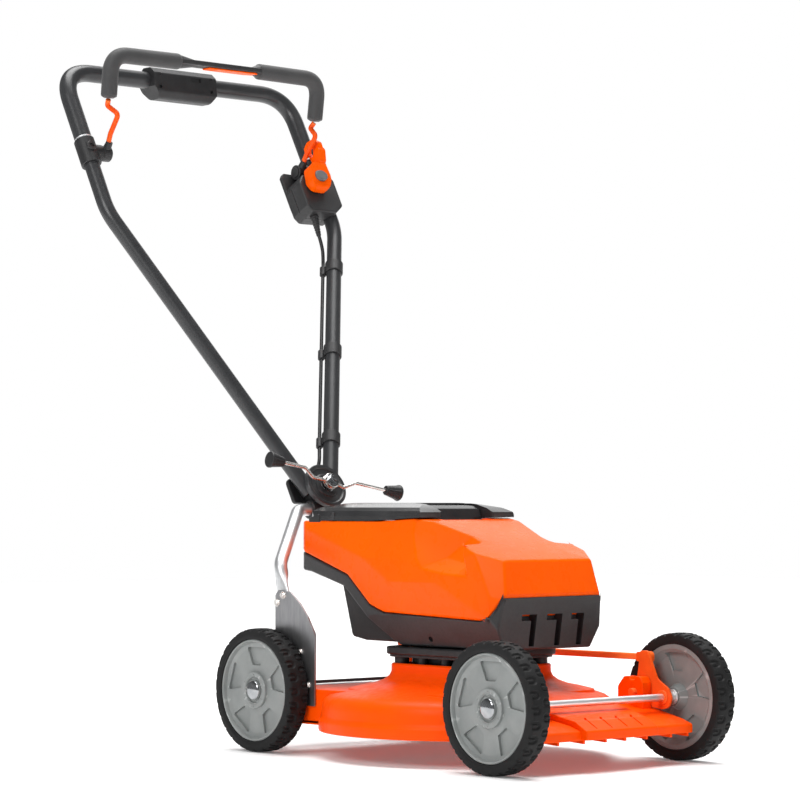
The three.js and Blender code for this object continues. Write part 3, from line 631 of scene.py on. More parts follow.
def zinc():
    """Zinc-plated wire and bolts, with a warm cast in the plating."""
    f = Finish("zinc_plate", metallic=1.0)
    f.colour(f.colours(f.noise(120.0, 4.0), (0.62, 0.58, 0.55), (0.78, 0.76, 0.74)))
    f.roughness(f.spread(f.noise(500.0, 4.0), 0.18, 0.34))
    f.bump((f.noise(900.0, 3.0), 0.08, 0.0003))
    return f.material


def brushed(name, dark, light, stretch, rough=(0.26, 0.44)):
    """Metal with fine lines along one axis."""
    f = Finish(name, metallic=1.0)
    lines = f.noise(60.0, 6.0, stretch=stretch)
    f.colour(f.colours(lines, dark, light))
    f.roughness(f.spread(f.noise(45.0, 4.0, stretch=stretch), *rough))
    f.bump((lines, 0.06, 0.0003), (f.noise(12.0, 2.0), 0.03, 0.001))
    return f.material


ORANGE = orange_plastic()
DECK_ORANGE = orange_paint()
STEEL_ORANGE = orange_steel()
DARK = grained_plastic("dark_grey_plastic", (0.020, 0.020, 0.021), (0.026, 0.026, 0.027))
BLACK = grained_plastic("black_plastic", (0.011, 0.011, 0.012), (0.018, 0.018, 0.019))
SATIN = grained_plastic(
    "black_satin_plastic", (0.02, 0.02, 0.021), (0.028, 0.028, 0.029), (0.14, 0.2), 2600.0, 0.006
)
BUTTON_GREY = grained_plastic("button_grey", (0.11, 0.11, 0.115), (0.14, 0.14, 0.145))
TUBE = tube_paint()
RUBBER = rubber()
GRIP = soft_grip()
RIM = rim_plastic()
CHROME = chrome()
ZINC = zinc()
SILVER = brushed("satin_aluminium", (0.66, 0.67, 0.68), (0.76, 0.77, 0.78), (12, 12, 0.6), (0.42, 0.5))
AXLE_STEEL = brushed("axle_steel", (0.8, 0.8, 0.8), (0.9, 0.9, 0.9), (0.5, 14, 14), (0.4, 0.5))
PLATE_STEEL = brushed("plate_steel", (0.30, 0.30, 0.31), (0.36, 0.36, 0.37), (3, 3, 0.5), (0.34, 0.46))
BLADE_STEEL = brushed("blade_steel", (0.33, 0.33, 0.34), (0.5, 0.5, 0.51), (10, 0.6, 10))

# ---------------------------------------------------------------- wheels

TYRE_HALF = 0.018
TREAD_HALF = 0.0164
TREAD_STEPS = 720
TREAD_COLUMNS = 44
LUGS = 28
GROOVE_DEPTH = 0.0022
GROOVE_HALF = 0.0015
TONGUE = mm((4.5, 19), (4.5, 7), (6.8, 4.2), (10, 4.2), (12.3, 7), (12.3, 13.5))
SPOKES = 5
RIM_DOTS = 6
DOT_CIRCLE = 0.0246
DOT_FLOOR = 0.0144
DOT_RADIUS = 0.0011


def distance_to_chain(point, chain):
    """Distance from a flat point to a chain of straight stretches."""
    best = 1.0
    for a, b in zip(chain, chain[1:]):
        ax, ay = a
        run = (b[0] - ax, b[1] - ay)
        along = (point[0] - ax) * run[0] + (point[1] - ay) * run[1]
        share = max(0.0, min(1.0, along / (run[0] ** 2 + run[1] ** 2)))
        gap = math.hypot(point[0] - ax - run[0] * share, point[1] - ay - run[1] * share)
        best = min(best, gap)
    return best


def groove(angle, across):
    """Depth of the tread's grooves: a row of hooked tongues from each shoulder, staggered."""
    pitch = 2 * math.pi / LUGS
    shift = 0.5 if across > 0 else 0.0
    along = ((angle / pitch + shift) % 1.0) * pitch * TYRE_R
    gap = distance_to_chain((along, abs(across)), TONGUE)
    share = max(0.0, min(1.0, (2 * GROOVE_HALF - gap) / GROOVE_HALF))
    return GROOVE_DEPTH * share * share * (3 - 2 * share)


def tyre():
    """The front left tyre: grooved tread, rounded shoulders and plain sidewalls."""
    side = mm((-10.5, 18), (-12.5, 17.9), (-15.5, 17.2), (-16.6, 16))
    left = [(TYRE_R + drop, across) for drop, across in side]
    right = [(radius, -across) for radius, across in reversed(left)]
    rings = []
    for i in range(TREAD_STEPS):
        angle = 2 * math.pi * i / TREAD_STEPS
        profile = list(right)
        for k in range(TREAD_COLUMNS + 1):
            across = -TREAD_HALF + 2 * TREAD_HALF * k / TREAD_COLUMNS
            share = abs(across) / TREAD_HALF
            crown = 0.0008 * share**2 + 0.0012 * max(0.0, share - 0.85) / 0.15
            profile.append((TYRE_R - crown - groove(angle, across), across))
        profile.append((TYRE_R - 0.0045, TYRE_HALF - 0.0003))
        profile.insert(len(right), (TYRE_R - 0.0045, -TYRE_HALF + 0.0003))
        profile += left
        rings.append(
            [
                Vector((
                    WHEEL_X + across,
                    -HALF_BASE + radius * math.cos(angle),
                    TYRE_R + radius * math.sin(angle),
                ))
                for radius, across in profile
            ]
        )
    bm = bmesh.new()
    ring_mesh(bm, rings, loop=True)
    return make("tyre", bm, 50.0)


RIM_PROFILE = [
    (5.8, -17),
    (14, -17),
    (20, -6),
    (62, -6),
    (70, -14),
    (71.5, -15.5),
    (78, -15.5),
    (78, 15.3),
    (76.9, 16.4),
    (75, 16.4),
    (74, 15.2),
    (72.8, 10.6),
    (68, 9),
    (64, 8.4),
    (30, 9.6),
    (28.5, 10.2),
    (28, 11.2),
    (28, 14.4),
    (27.2, 15.2),
    (22, 15.2),
    (21.4, 14.5),
    (20.4, 14.5),
    (19.8, 15.2),
    (18.6, 12.4),
    (15.6, 12.4),
    (15.4, 15.2),
    (5.8, 15.2),
    (5.8, -17),
]


def wheel_centre():
    return Vector((WHEEL_X, -HALF_BASE, TYRE_R))


def rim_window(turn, low, high):
    """A cutter for one of the recessed windows between the spokes."""
    corners = rounded_outline(mm((38, -10, 3), (66, -24, 4), (66, 24, 4), (38, 10, 3)))
    outline = []
    for out, across in corners:
        y = out * math.cos(turn) - across * math.sin(turn)
        z = out * math.sin(turn) + across * math.cos(turn)
        outline.append((y - HALF_BASE, z + TYRE_R))
    return slab("window", outline, "X", WHEEL_X + low, WHEEL_X + high)


def rim():
    made = turned("rim", RIM_PROFILE, wheel_centre(), (1, 0, 0))
    for i in range(SPOKES):
        turn = math.pi / 2 + 2 * math.pi * i / SPOKES
        cut(made, rim_window(turn, 0.0046, 0.012), rim_window(turn, -0.012, -0.0025))
    for i in range(RIM_DOTS):
        angle = 2 * math.pi * (i + 0.5) / RIM_DOTS
        place = (DOT_FLOOR, DOT_CIRCLE * math.cos(angle), DOT_CIRCLE * math.sin(angle))
        spot = wheel_centre() + Vector(place)
        cut(made, bar("dot", spot, spot + Vector((0.002, 0, 0)), DOT_RADIUS, sides=16))
    return bevel(made, 0.0005, 2, 40)


def hub_cap():
    profile = [(0, 15.3), (14.3, 15.3), (14.5, 16.4), (14.1, 17.2), (13.0, 18.1)]
    profile += [(11.2, 19), (8.6, 19.8), (5.6, 20.25), (2.8, 20.45), (0, 20.5)]
    return turned("hub_cap", profile, wheel_centre(), (1, 0, 0), 64)


def add_wheels():
    shapes = {"tyre": (tyre(), RUBBER), "rim": (rim(), RIM), "hub_cap": (hub_cap(), CHROME)}
    for part, (shape, material) in shapes.items():
        for end, run in (("front", 0.0), ("rear", 2 * HALF_BASE)):
            for side, flip in (("left", 1), ("right", -1)):
                node = f"{part}_{end}_{side}"
                mesh = shape.data.copy()
                mesh.transform(Matrix.Translation((0, run, 0)))
                twin = bpy.data.objects.new(node + "_fine", mesh)
                bpy.context.scene.collection.objects.link(twin)
                if flip < 0:
                    mesh.transform(Matrix.Scale(-1, 4, (1, 0, 0)))
                    mesh.flip_normals()
                fine(twin, node, material)
        bpy.data.objects.remove(shape)


# ---------------------------------------------------------------- height adjuster

CRANK_X = 0.152
AXLE_HALF = 0.203
AXLE_RADIUS = 0.0055
# Sleeves and washers on each end of an axle: name, inner and outer x, radius.
AXLE_RINGS = [
    ("sleeve", 0.1555, 0.1690, 0.0085),
    ("washer", 0.1543, 0.1558, 0.0125),
    ("washer", 0.1692, 0.1714, 0.0115),
]


def axle(name, y):
    """A steel axle with its spacer sleeves and washers."""
    z = TYRE_R
    pieces = [bar(name, (-AXLE_HALF, y, z), (AXLE_HALF, y, z), AXLE_RADIUS)]
    for sign in (-1, 1):
        for ring, inner, outer, radius in AXLE_RINGS:
            pieces.append(bar(ring, (sign * inner, y, z), (sign * outer, y, z), radius))
    return join(name, *pieces)


CRANK_OUTLINE = [
    (9, 49, 4),
    (8, 61, 7),
    (-8, 61, 7),
    (-14, 48, 10),
    (-27, 20, 16),
    (-49, 7, 10),
    (-57, -7, 12),
    (-50, -22, 12),
    (-36, -25, 8),
    (4, -19, 10),
    (17, -12, 12),
    (16, 8, 12),
]


def crank(name, pivot, with_pin):
    outline = rounded_outline(mm(*CRANK_OUTLINE))
    outline = [(pivot.y + y, pivot.z + z) for y, z in outline]
    plate = bevel(slab(name, outline, "X", CRANK_X - 0.002, CRANK_X + 0.002), 0.0006, 2)
    axle_y = pivot.y - 0.039
    pieces = [plate]
    boss = bar("boss", (0.1475, axle_y, TYRE_R), (CRANK_X - 0.0015, axle_y, TYRE_R), 0.0105)
    stub = bar("stub", (0.122, pivot.y, pivot.z), (0.1535, pivot.y, pivot.z), 0.006)
    pieces += [boss, stub]
    pieces.append(bar("weld", (0.1535, pivot.y, pivot.z), (0.1555, pivot.y, pivot.z), 0.009))
    if with_pin:
        pin_z = LINK_PIN.z
        pieces.append(bar("pin", (CRANK_X, pivot.y, pin_z), (0.164, pivot.y, pin_z), 0.004))
    return join(name, *pieces)


def link_rod():
    """The flat rod that ties the front and rear cranks, with an eye at each end."""
    front = FRONT_PIVOT.y
    rear = REAR_PIVOT.y
    z = LINK_PIN.z
    section = rounded_outline(mm((155.8, -5, 2), (162.2, -5, 2), (162.2, 5, 2), (155.8, 5, 2)), 3)
    rod = slab("rod", [(x, z + dz) for x, dz in section], "Y", front + 0.004, rear - 0.004)
    pieces = [rod]
    for y, lean in ((front, 1), (rear, -1)):
        corners = mm((-10, -9, 8), (20, -7, 3), (20, 7, 3), (-10, 9, 8))
        eye = [(y + lean * dy, z + dz) for dy, dz in rounded_outline(corners)]
        solid = slab("eye", eye, "X", 0.1546, 0.1634)
        bore = bar("bore", (0.15, y, z), (0.17, y, z), 0.0046)
        pieces.append(bevel(cut(solid, bore), 0.0007, 2))
    return join("link_rod_fine", *pieces)


def link_pin_heads():
    """Black caps that keep the link rod on its pins."""
    heads = []
    for y in (FRONT_PIVOT.y, REAR_PIVOT.y):
        tip = (0.1662, y, LINK_PIN.z)
        heads.append(bar("cap", (0.1637, y, LINK_PIN.z), tip, 0.0065, 0.0055))
    return join("link_pin_caps", *heads)


def height_lever():
    pivot = REAR_PIVOT
    corners = mm(
        (-12, -9, 8), (12, -9, 8), (15, 8, 8), (28, 84, 40), (43, 170, 3), (30, 172, 3),
        (14, 90, 40), (-12, 10, 8),
    )
    outline = [(pivot.y + y, pivot.z + z) for y, z in rounded_outline(corners)]
    return bevel(slab("height_lever_fine", outline, "X", 0.144, 0.149), 0.0008, 2)


def lever_grip():
    """The moulded grip on the height lever, waisted, with three finger ridges on each face."""
    pivot = REAR_PIVOT
    corners = mm(
        (22, 149, 5), (45, 146, 5), (49, 168, 30), (53, 190, 8), (43, 200, 8), (29, 195, 8),
        (25, 172, 30),
    )
    outline = [(pivot.y + y, pivot.z + z) for y, z in rounded_outline(corners)]
    grip = bevel(slab("grip", outline, "X", 0.1385, 0.1545), 0.0035, 4)
    pieces = [grip]
    for i in range(3):
        rise = 0.160 + 0.011 * i
        drift = 0.0022 * i
        low = (0.1378, pivot.y + 0.0285 + drift, pivot.z + rise)
        high = (0.1552, pivot.y + 0.0445 + drift, pivot.z + rise + 0.0035)
        pieces.append(bevel(box("ridge", low, high), 0.0012, 2))
    return join("height_lever_grip_fine", *pieces)


def add_height_adjuster():
    fine(axle("front_axle_fine", -HALF_BASE), "front_axle", AXLE_STEEL)
    fine(axle("rear_axle_fine", HALF_BASE), "rear_axle", AXLE_STEEL)
    for end, pivot in (("front", FRONT_PIVOT), ("rear", REAR_PIVOT)):
        left = crank(f"{end}_crank_left_fine", pivot, True)
        right = crank("crank", pivot, False)
        fine(left, f"{end}_crank_left", STEEL_ORANGE)
        fine(mirrored(right, f"{end}_crank_right_fine"), f"{end}_crank_right", STEEL_ORANGE)
        bpy.data.objects.remove(right)
    fine(link_rod(), "link_rod", STEEL_ORANGE)
    dress(link_pin_heads(), "link", BLACK, slot="black_plastic")
    fine(height_lever(), "height_lever", STEEL_ORANGE)
    fine(lever_grip(), "height_lever_knob", BLACK)


# ---------------------------------------------------------------- deck

BOWL_OUTSIDE = [
    (28, 122),
    (90, 120.4),
    (104, 118),
    (122, 113.2),
    (150, 107.2),
    (180, 101.2),
    (200, 96.8),
    (209, 93.6),
    (215.5, 89),
    (219.4, 82.5),
    (221, 74),
    (221.6, 64),
    (222.4, 60.4),
    (225, 57.4),
    (226, 54.5),
    (226, 42),
    (225.2, 40),
    (222.6, 40),
]
BOWL_INSIDE = [(222, 41), (222, 56), (218, 60), (216, 82), (203, 90.5), (149, 102), (90, 116)]
NECK_Y = -0.008


def rounded_square(half, radius, centre_y=NECK_Y):
    corners = [(half, -half), (half, half), (-half, half), (-half, -half)]
    return rounded_outline([(x, y + centre_y, radius) for x, y in corners], 12)


def deck_collar():
    """The raised square neck under the housing, open in the middle."""
    flare = mm(
        (158, 96), (155, 103), (135, 108), (118, 111.5), (105, 116.5), (97, 122.5), (94, 129),
        (94, 139), (92, 141),
    )
    bm = bmesh.new()
    rings = []
    for half, z in flare:
        outline = rounded_square(half, half - 0.060)
        rings.append([(x, y, z) for x, y in outline])
    ring_mesh(bm, rings)
    outside = make("collar", bm, 30)
    inside = slab("well", rounded_square(0.086, 0.028), "Z", 0.1215, 0.15)
    return cut(outside, inside)


def lip_wings():
    outline = mm((-317, 46), (-308, 46), (-190, 78), (-190, 89), (-296, 66, 12), (-317, 59, 5))
    wings = slab("wings", rounded_outline(outline), "X", -0.158, 0.158)
    return bevel(wings, 0.0016, 3)


def lip_centre():
    """The raised middle of the lip, which widens towards the bowl."""
    side = mm(
        (-329, 47), (-318, 47), (-190, 79), (-190, 98), (-232, 88.5, 30), (-305, 73, 8),
        (-329, 60, 4),
    )
    slope = slab("centre", rounded_outline(side), "X", -0.12, 0.12)
    plan = mm((-73, -330), (73, -330), (73, -300), (92, -196), (-92, -196), (-73, -300))
    limit = slab("plan", plan, "Z", 0.03, 0.12)
    return bevel(combine(slope, limit, "INTERSECT"), 0.002, 3)


# The lip's top climbs LIP_CLIMB over the first LIP_CLIMB_RUN from its front edge.
LIP_FRONT_Y = -0.329
LIP_FRONT_TOP = 0.0602
LIP_CLIMB = 0.0128
LIP_CLIMB_RUN = 0.025
LIP_GROOVES = (-48, -17, 14, 45)
LIP_GROOVE_DEPTH = 0.0014
CUTTER_REACH = 0.01
FLAT_CUTTER = 0.0016


def lip_grooves():
    """Cutters for the four short hooked grooves on the middle of the lip."""
    cutters = []
    for x in LIP_GROOVES:
        corners = mm(
            (x - 1.5, -324), (x + 1.5, -324), (x + 1.5, -303), (x + 9, -293), (x + 7, -290.5),
            (x - 1.5, -300),
        )
        cutter = slab("groove", corners, "Z", 0.0, FLAT_CUTTER)
        bm = bmesh.new()
        bm.from_mesh(cutter.data)
        for vert in bm.verts:
            share = (vert.co.y - MID_Y - LIP_FRONT_Y) / LIP_CLIMB_RUN
            top = LIP_FRONT_TOP + LIP_CLIMB * min(1.0, share)
            reach = CUTTER_REACH if vert.co.z > FLAT_CUTTER / 2 else 0
            vert.co.z = top - LIP_GROOVE_DEPTH + reach
        bm.to_mesh(cutter.data)
        bm.free()
        cutters.append(cutter)
    return cutters


LIP_RIBS = (-0.150, -0.115, -0.064, -0.02, 0.02, 0.064, 0.115, 0.150)
RIB_HALF = 0.0022


def lip_ribs():
    """The upright ribs under the lip."""
    outline = mm((-314, 41), (-225, 46), (-225, 76), (-314, 52))
    ribs = []
    for x in LIP_RIBS:
        ribs.append(bevel(slab("rib", outline, "X", x - RIB_HALF, x + RIB_HALF), 0.0006, 2))
    return ribs


def deck_rear():
    """The square rear of the deck, with the rails that carry the rear guard and cranks."""
    half = 0.1654
    side = rounded_outline(mm((90, 46), (245, 46), (245, 93, 6), (238, 100, 6), (90, 100)), 4)
    outer = bevel(slab("rear", side, "X", -half, half), 0.0025, 3)
    inner = box("inner", (-half + 0.004, 0.08, 0.03), (half - 0.004, 0.241, 0.096))
    rear = cut(outer, inner)
    ledge = rounded_outline(mm((150, 46), (247.5, 46), (247.5, 52, 1.5), (150, 52)), 3)
    pieces = [rear, bevel(slab("ledge", ledge, "X", -half, half), 0.001, 2)]
    rail = mm(
        (236, 46), (318, 46), (318, 110, 4), (310, 117, 6), (296, 117, 6), (289, 110, 4),
        (289, 64, 8), (280, 60, 6), (236, 60),
    )
    for sign in (-1, 1):
        low, high = sorted((sign * 0.126, sign * 0.142))
        pieces.append(bevel(slab("rail", rounded_outline(rail), "X", low, high), 0.0012, 2))
    return pieces


def pivot_block(sign):
    """The cast block on the deck's front shoulder in which a front crank turns."""
    outline = mm(
        (-242, 60), (-190, 60), (-190, 110, 6), (-203, 125, 5), (-214, 125, 2), (-217, 120, 2),
        (-224, 120, 2), (-227, 125, 2), (-237, 125, 5), (-242, 116, 5),
    )
    low, high = sorted((sign * 0.130, sign * 0.1485))
    block = bevel(slab("block", rounded_outline(outline), "X", low, high), 0.0016, 3)
    y, z = FRONT_PIVOT.y, FRONT_PIVOT.z
    boss = bar("boss", (sign * 0.1475, y, z), (sign * 0.1496, y, z), 0.0125)
    return [block, boss]


def add_deck():
    profile = BOWL_OUTSIDE + BOWL_INSIDE + [(28, 118), (28, 122)]
    bowl = turned("bowl", profile, sides=160, smooth=32)
    chamber = [(0, 119.5), (91, 118), (150, 104), (204, 92.5), (218, 83), (220, 60)]
    chamber += [(223.5, 56), (223.5, 20), (0, 20)]
    for number, piece in enumerate([lip_wings(), lip_centre()]):
        space = turned("chamber", chamber, sides=160)
        if number:
            cut(piece, *lip_grooves())
        welded(bowl, cut(piece, space))
    extras = [deck_collar(), *lip_ribs(), *deck_rear(), *pivot_block(1), *pivot_block(-1)]
    for piece in extras:
        welded(bowl, cut(piece, turned("chamber", chamber, sides=160)))
    bowl.name = "deck_fine"
    shade(bowl, 32)
    fine(bowl, "deck", DECK_ORANGE)
    refined("rear_guard", 0.0012, DARK)


# ---------------------------------------------------------------- cutting drive

POST_PLACES = (-0.074, -0.026, 0.026, 0.074)


def motor_mount():
    """The black flange under the housing on its posts, round the motor's drum."""
    flange = slab("flange", rounded_square(0.098, 0.030), "Z", 0.1545, 0.1662)
    pieces = [bevel(flange, 0.0025, 3, 50)]
    lip = slab("lip", rounded_square(0.094, 0.028), "Z", 0.1505, 0.155)
    pieces.append(bevel(lip, 0.001, 2, 50))
    core = slab("core", rounded_square(0.068, 0.02), "Z", 0.1225, 0.1550)
    pieces.append(bevel(core, 0.001, 2, 50))
    for x in POST_PLACES:
        for y in POST_PLACES:
            if max(abs(x), abs(y)) < max(POST_PLACES):
                continue
            corner = abs(x) == abs(y)
            top = 0.1672 if corner else 0.156
            radius = 0.011 if corner else 0.008
            foot = (x, NECK_Y + y, 0.1223)
            pieces.append(bar("post", foot, (x, NECK_Y + y, top), radius, sides=24))
    return join("motor_mount_fine", *pieces)


def mount_screws():
    """Screws that hold the flange to the deck's neck, one at each corner."""
    heads = []
    for x in (-0.080, 0.080):
        for y in (-0.080, 0.080):
            foot = Vector((x, NECK_Y + y, 0.1220))
            heads.append(bar("stud", foot, foot + Vector((0, 0, 0.032)), 0.003, sides=20))
            heads.append(bar("nut", foot, foot + Vector((0, 0, 0.005)), 0.0062, sides=6))
    return join("mount_screws", *heads)


def add_cutting_drive():
    fine(motor_mount(), "motor_mount", BLACK)
    dress(mount_screws(), "chassis", ZINC, slot="chrome")
    refined("motor", 0.002, BLADE_STEEL)
    refined("motor_shaft", 0.0006, BLADE_STEEL, 32)
    refined("blade", 0.0008, BLADE_STEEL)
    refined("blade_bolt", 0.0008, ZINC, 32)
    refined("battery", 0.003, DARK)
    refined("controller", 0.003, BLACK)


# ---------------------------------------------------------------- housing

SEAM = mm(
    (-187, 248), (-165, 216.5), (-145, 211), (65, 218), (99, 229), (154, 273), (266, 305), (292, 309)
)
HOUSING_PLAN = [(98, -188, 6), (111, -168, 10), (121, -60, 60), (121, 60, 60), (110, 255, 10)]
HOUSING_PLAN += [(88, 285, 12)]
HOUSING_FRONT_VIEW = [(88, 165, 6), (112, 215, 10), (121, 265, 6), (117, 300, 6), (98, 365, 6)]
SEAM_GAP = 0.0004


def both_sides(corners):
    """A closed outline from the corners of its +X half, in millimetres."""
    other = [(-corner[0], *corner[1:]) for corner in reversed(corners)]
    return rounded_outline(mm(*corners, *other), 5)


def planed(obj, *points):
    """Takes off what lies outside the plane through three points, on both sides of the mower."""
    for sign in (1, -1):
        a, b, c = [Vector((sign * x, y + MID_Y, z)) for x, y, z in points]
        normal = (b - a).cross(c - a).normalized()
        if normal.x * sign < 0:
            normal.negate()
        bm = bmesh.new()
        bm.from_mesh(obj.data)
        everything = bm.verts[:] + bm.edges[:] + bm.faces[:]
        made = bmesh.ops.bisect_plane(
            bm, geom=everything, plane_co=a, plane_no=normal, clear_outer=True
        )
        edges = [e for e in made["geom_cut"] if isinstance(e, bmesh.types.BMEdge)]
        bmesh.ops.holes_fill(bm, edges=edges)
        bmesh.ops.recalc_face_normals(bm, faces=bm.faces)
        bm.to_mesh(obj.data)
        bm.free()
    return obj


FRONT_FACET = mm((70, -105, 327), (110, -140, 311), (89.5, -175, 299))
CORNER_FACET = mm((89.5, -175, 299), (96.5, -186, 249), (111, -141, 311))
SIDE_FACET = mm((118, 130, 339), (121, 21, 238), (112, 139, 280))


def housing_form(name, side):
    form = slab(name, side, "X", -0.15, 0.15)
    combine(form, slab("plan", both_sides(HOUSING_PLAN), "Z", 0.10, 0.42), "INTERSECT")
    combine(form, slab("view", both_sides(HOUSING_FRONT_VIEW), "Y", -0.25, 0.35), "INTERSECT")
    return planed(tidy_faces(form), *SIDE_FACET)


def scoop_cutter(sign):
    """The finger scoop in the hood's side: a pocket with a rear wall, a floor and a front wall."""
    corners = mm(
        (86, -23, 374), (92, -59, 301), (92, -106, 293), (56, -105, 348), (117, 56, 367),
        (121, -23, 285), (119, -124, 273),
    )
    bm = bmesh.new()
    for reach in (0, 0.030):
        for x, y, z in corners:
            bm.verts.new((sign * (x + reach), y, z))
    bmesh.ops.convex_hull(bm, input=bm.verts)
    return tidy_faces(make("scoop", bm, 20))


def front_vents():
    """Three inverted L slots in the lower housing's front."""
    cutters = []
    for left, right in mm((-59, -29), (-8, 23), (42, 68)):
        leg = right - 0.011
        outline = [(left, 0.220), (right, 0.220), (right, 0.173), (leg, 0.173), (leg, 0.211)]
        outline.append((left, 0.211))
        cutters.append(slab("vent", outline, "Y", -0.20, -0.165))
    return cutters


def housing_lower():
    lower = [(y, z - SEAM_GAP) for y, z in SEAM]
    below = mm((292, 280), (253, 276), (164, 255), (65, 176), (50, 168), (-174, 168))
    form = housing_form("housing_lower_fine", lower + below)
    well = rounded_outline(mm(
        (20, 171.5), (150, 172, 6), (182, 177, 8), (205, 254, 8), (205, 275), (20, 275)
    ))
    limit = slab("limit", lower + mm((292, 100), (-187, 100)), "X", -0.15, 0.15)
    welded(form, combine(slab("well", well, "X", -0.075, 0.075), limit, "INTERSECT"))
    bevel(tidy_faces(form, 1.0, 0.0016), 0.003, 3, 20, clamp=False)
    cut(form, *front_vents())
    for sign in (-1, 1):
        start = (sign * 0.120, -0.023, 0.180)
        cut(form, bar("hole", start, (sign * 0.086, -0.023, 0.180), 0.0042, sides=32))
    bay = box("bay", (-0.071, 0.042, 0.176), (0.071, 0.178, 0.40))
    cut(form, bay)
    shade(form, 32)
    return form


def hood():
    lower = [(y, z + SEAM_GAP) for y, z in SEAM]
    above = mm(
        (292, 355), (90, 355), (12, 359.5), (-20, 356), (-45, 347.5), (-80, 336), (-125, 321.5), (-176, 299)
    )
    form = housing_form("hood_fine", lower + above)
    planed(form, *FRONT_FACET)
    planed(form, *CORNER_FACET)
    cut(form, scoop_cutter(1), scoop_cutter(-1))
    bevel(tidy_faces(form, 1.0, 0.0016), 0.0035, 4, 11, clamp=False)
    cut(form, slab("bay", rounded_outline(mm(
        (-80, 62, 6), (80, 62, 6), (80, 236, 6), (-80, 236, 6)
    )), "Z", 0.10, 0.40))
    recess = bevel(box("recess", (-0.053, -0.006, 0.3405), (0.053, 0.066, 0.40)), 0.002, 2)
    cut(form, recess)
    shade(form, 32)
    return form


def bay_liner():
    """The black box under the lid that holds the battery."""
    outline = [(-79.6, 62.4, 6), (79.6, 62.4, 6), (79.6, 235.6, 6), (-79.6, 235.6, 6)]
    outside = slab("liner", rounded_outline(mm(*outline)), "Z", 0.286, 0.3535)
    inner = [(-77.4, 64.6, 5), (77.4, 64.6, 5), (77.4, 233.4, 5), (-77.4, 233.4, 5)]
    cut(outside, slab("inside", rounded_outline(mm(*inner)), "Z", 0.27, 0.36))
    shelf = bevel(box("shelf", (-0.0775, 0.171, 0.286), (0.0775, 0.2335, 0.290)), 0.001, 2)
    return join("battery_bay", outside, shelf)


def lid():
    """The battery cover: chamfered all round, with a raised panel, side ribs and hinge tabs."""
    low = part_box("lid")[0].z
    plan = mm(
        (100, 0, 5), (100, 246, 8), (93, 258, 8), (-93, 258, 8), (-100, 246, 8), (-100, 0, 5),
        (-52, 0, 4), (-52, 62.5, 5), (52, 62.5, 5), (52, 0, 4),
    )
    side = [(0, low + 0.0055), (0.110, low), (0.258, low)]
    side += mm((258, 365), (249, 375), (225, 382), (205, 383), (60, 383), (36, 381), (12, 375), (0, 369))
    front = mm(
        (-100, 355), (100, 355), (100, 363), (94, 370.5), (84, 376), (50, 382.6), (20, 383.5),
        (-20, 383.5), (-50, 382.6), (-84, 376), (-94, 370.5), (-100, 363),
    )
    form = slab("lid_fine", side, "X", -0.11, 0.11)
    combine(form, slab("plan", rounded_outline(plan), "Z", 0.35, 0.39), "INTERSECT")
    combine(form, slab("front", front, "Y", -0.05, 0.30), "INTERSECT")
    bevel(tidy_faces(form), 0.002, 3, 14)
    cut(form, box("inner", (-0.088, 0.068, 0.34), (0.088, 0.248, 0.3735)))
    pieces = [form]
    for sign in (-1, 1):
        low_x, high_x = sorted((sign * 0.0992, sign * 0.1012))
        rib = mm((196, 357), (206, 357), (200, 368), (194, 368))
        pieces.append(bevel(slab("rib", rib, "X", low_x, high_x), 0.0005, 2))
        tab = rounded_outline(mm((228, 352, 3), (252, 346, 4), (257, 358, 3), (232, 366, 2)))
        pieces.append(bevel(slab("tab", tab, "X", low_x, high_x), 0.0006, 2))
    return join("lid_fine", *pieces)


def lid_latch():
    side = rounded_outline(mm(
        (59, 366, 1), (59, 376, 2), (52, 379.6, 3), (39, 378.4, 10), (28, 374, 5), (22, 361, 2),
        (21, 351.5, 1), (24, 350.5, 1), (27, 360, 3), (33, 366, 3),
    ))
    form = bevel(slab("latch", side, "X", -0.050, 0.050), 0.0014, 3)
    form.name = "lid_latch_fine"
    return form


def add_housing():
    fine(housing_lower(), "housing_lower", DARK)
    fine(hood(), "hood", ORANGE)
    dress(bay_liner(), "chassis", BLACK, slot="black_plastic")
    fine(lid(), "lid", SATIN)
    fine(lid_latch(), "lid_latch", SATIN)


# ---------------------------------------------------------------- handle support

PLATE_X = (0.166, 0.169)
ARCH_RADIUS = 0.010


def side_plate():
    outline = rounded_outline(mm(
        (159, 74, 3), (255, 74, 3), (255, 241, 4), (247, 249, 4), (218, 246, 6), (196, 230, 12),
        (176, 209, 12), (159, 184, 8),
    ))
    return bevel(slab("plate", outline, "X", *PLATE_X), 0.0006, 2)


def hex_bolt(y, z, size, x=PLATE_X[1]):
    """A flanged hex bolt head, facing out."""
    flange = bar("flange", (x, y, z), (x + 0.0012, y, z), size * 1.35)
    head = bar("head", (x + 0.001, y, z), (x + 0.001 + size * 0.75, y, z), size, sides=6)
    return [flange, head]


# Bolts through a side plate: y, z and size of the head.
PLATE_BOLTS = [
    (0.235, 0.241, 0.0046),
    (0.2495, 0.229, 0.0046),
    (0.193, 0.156, 0.0036),
    (0.174, 0.106, 0.0036),
    (0.240, 0.086, 0.0036),
]


def plate_bolts():
    pieces = []
    for bolt in PLATE_BOLTS:
        pieces += hex_bolt(*bolt)
    return join("bolts", *pieces)


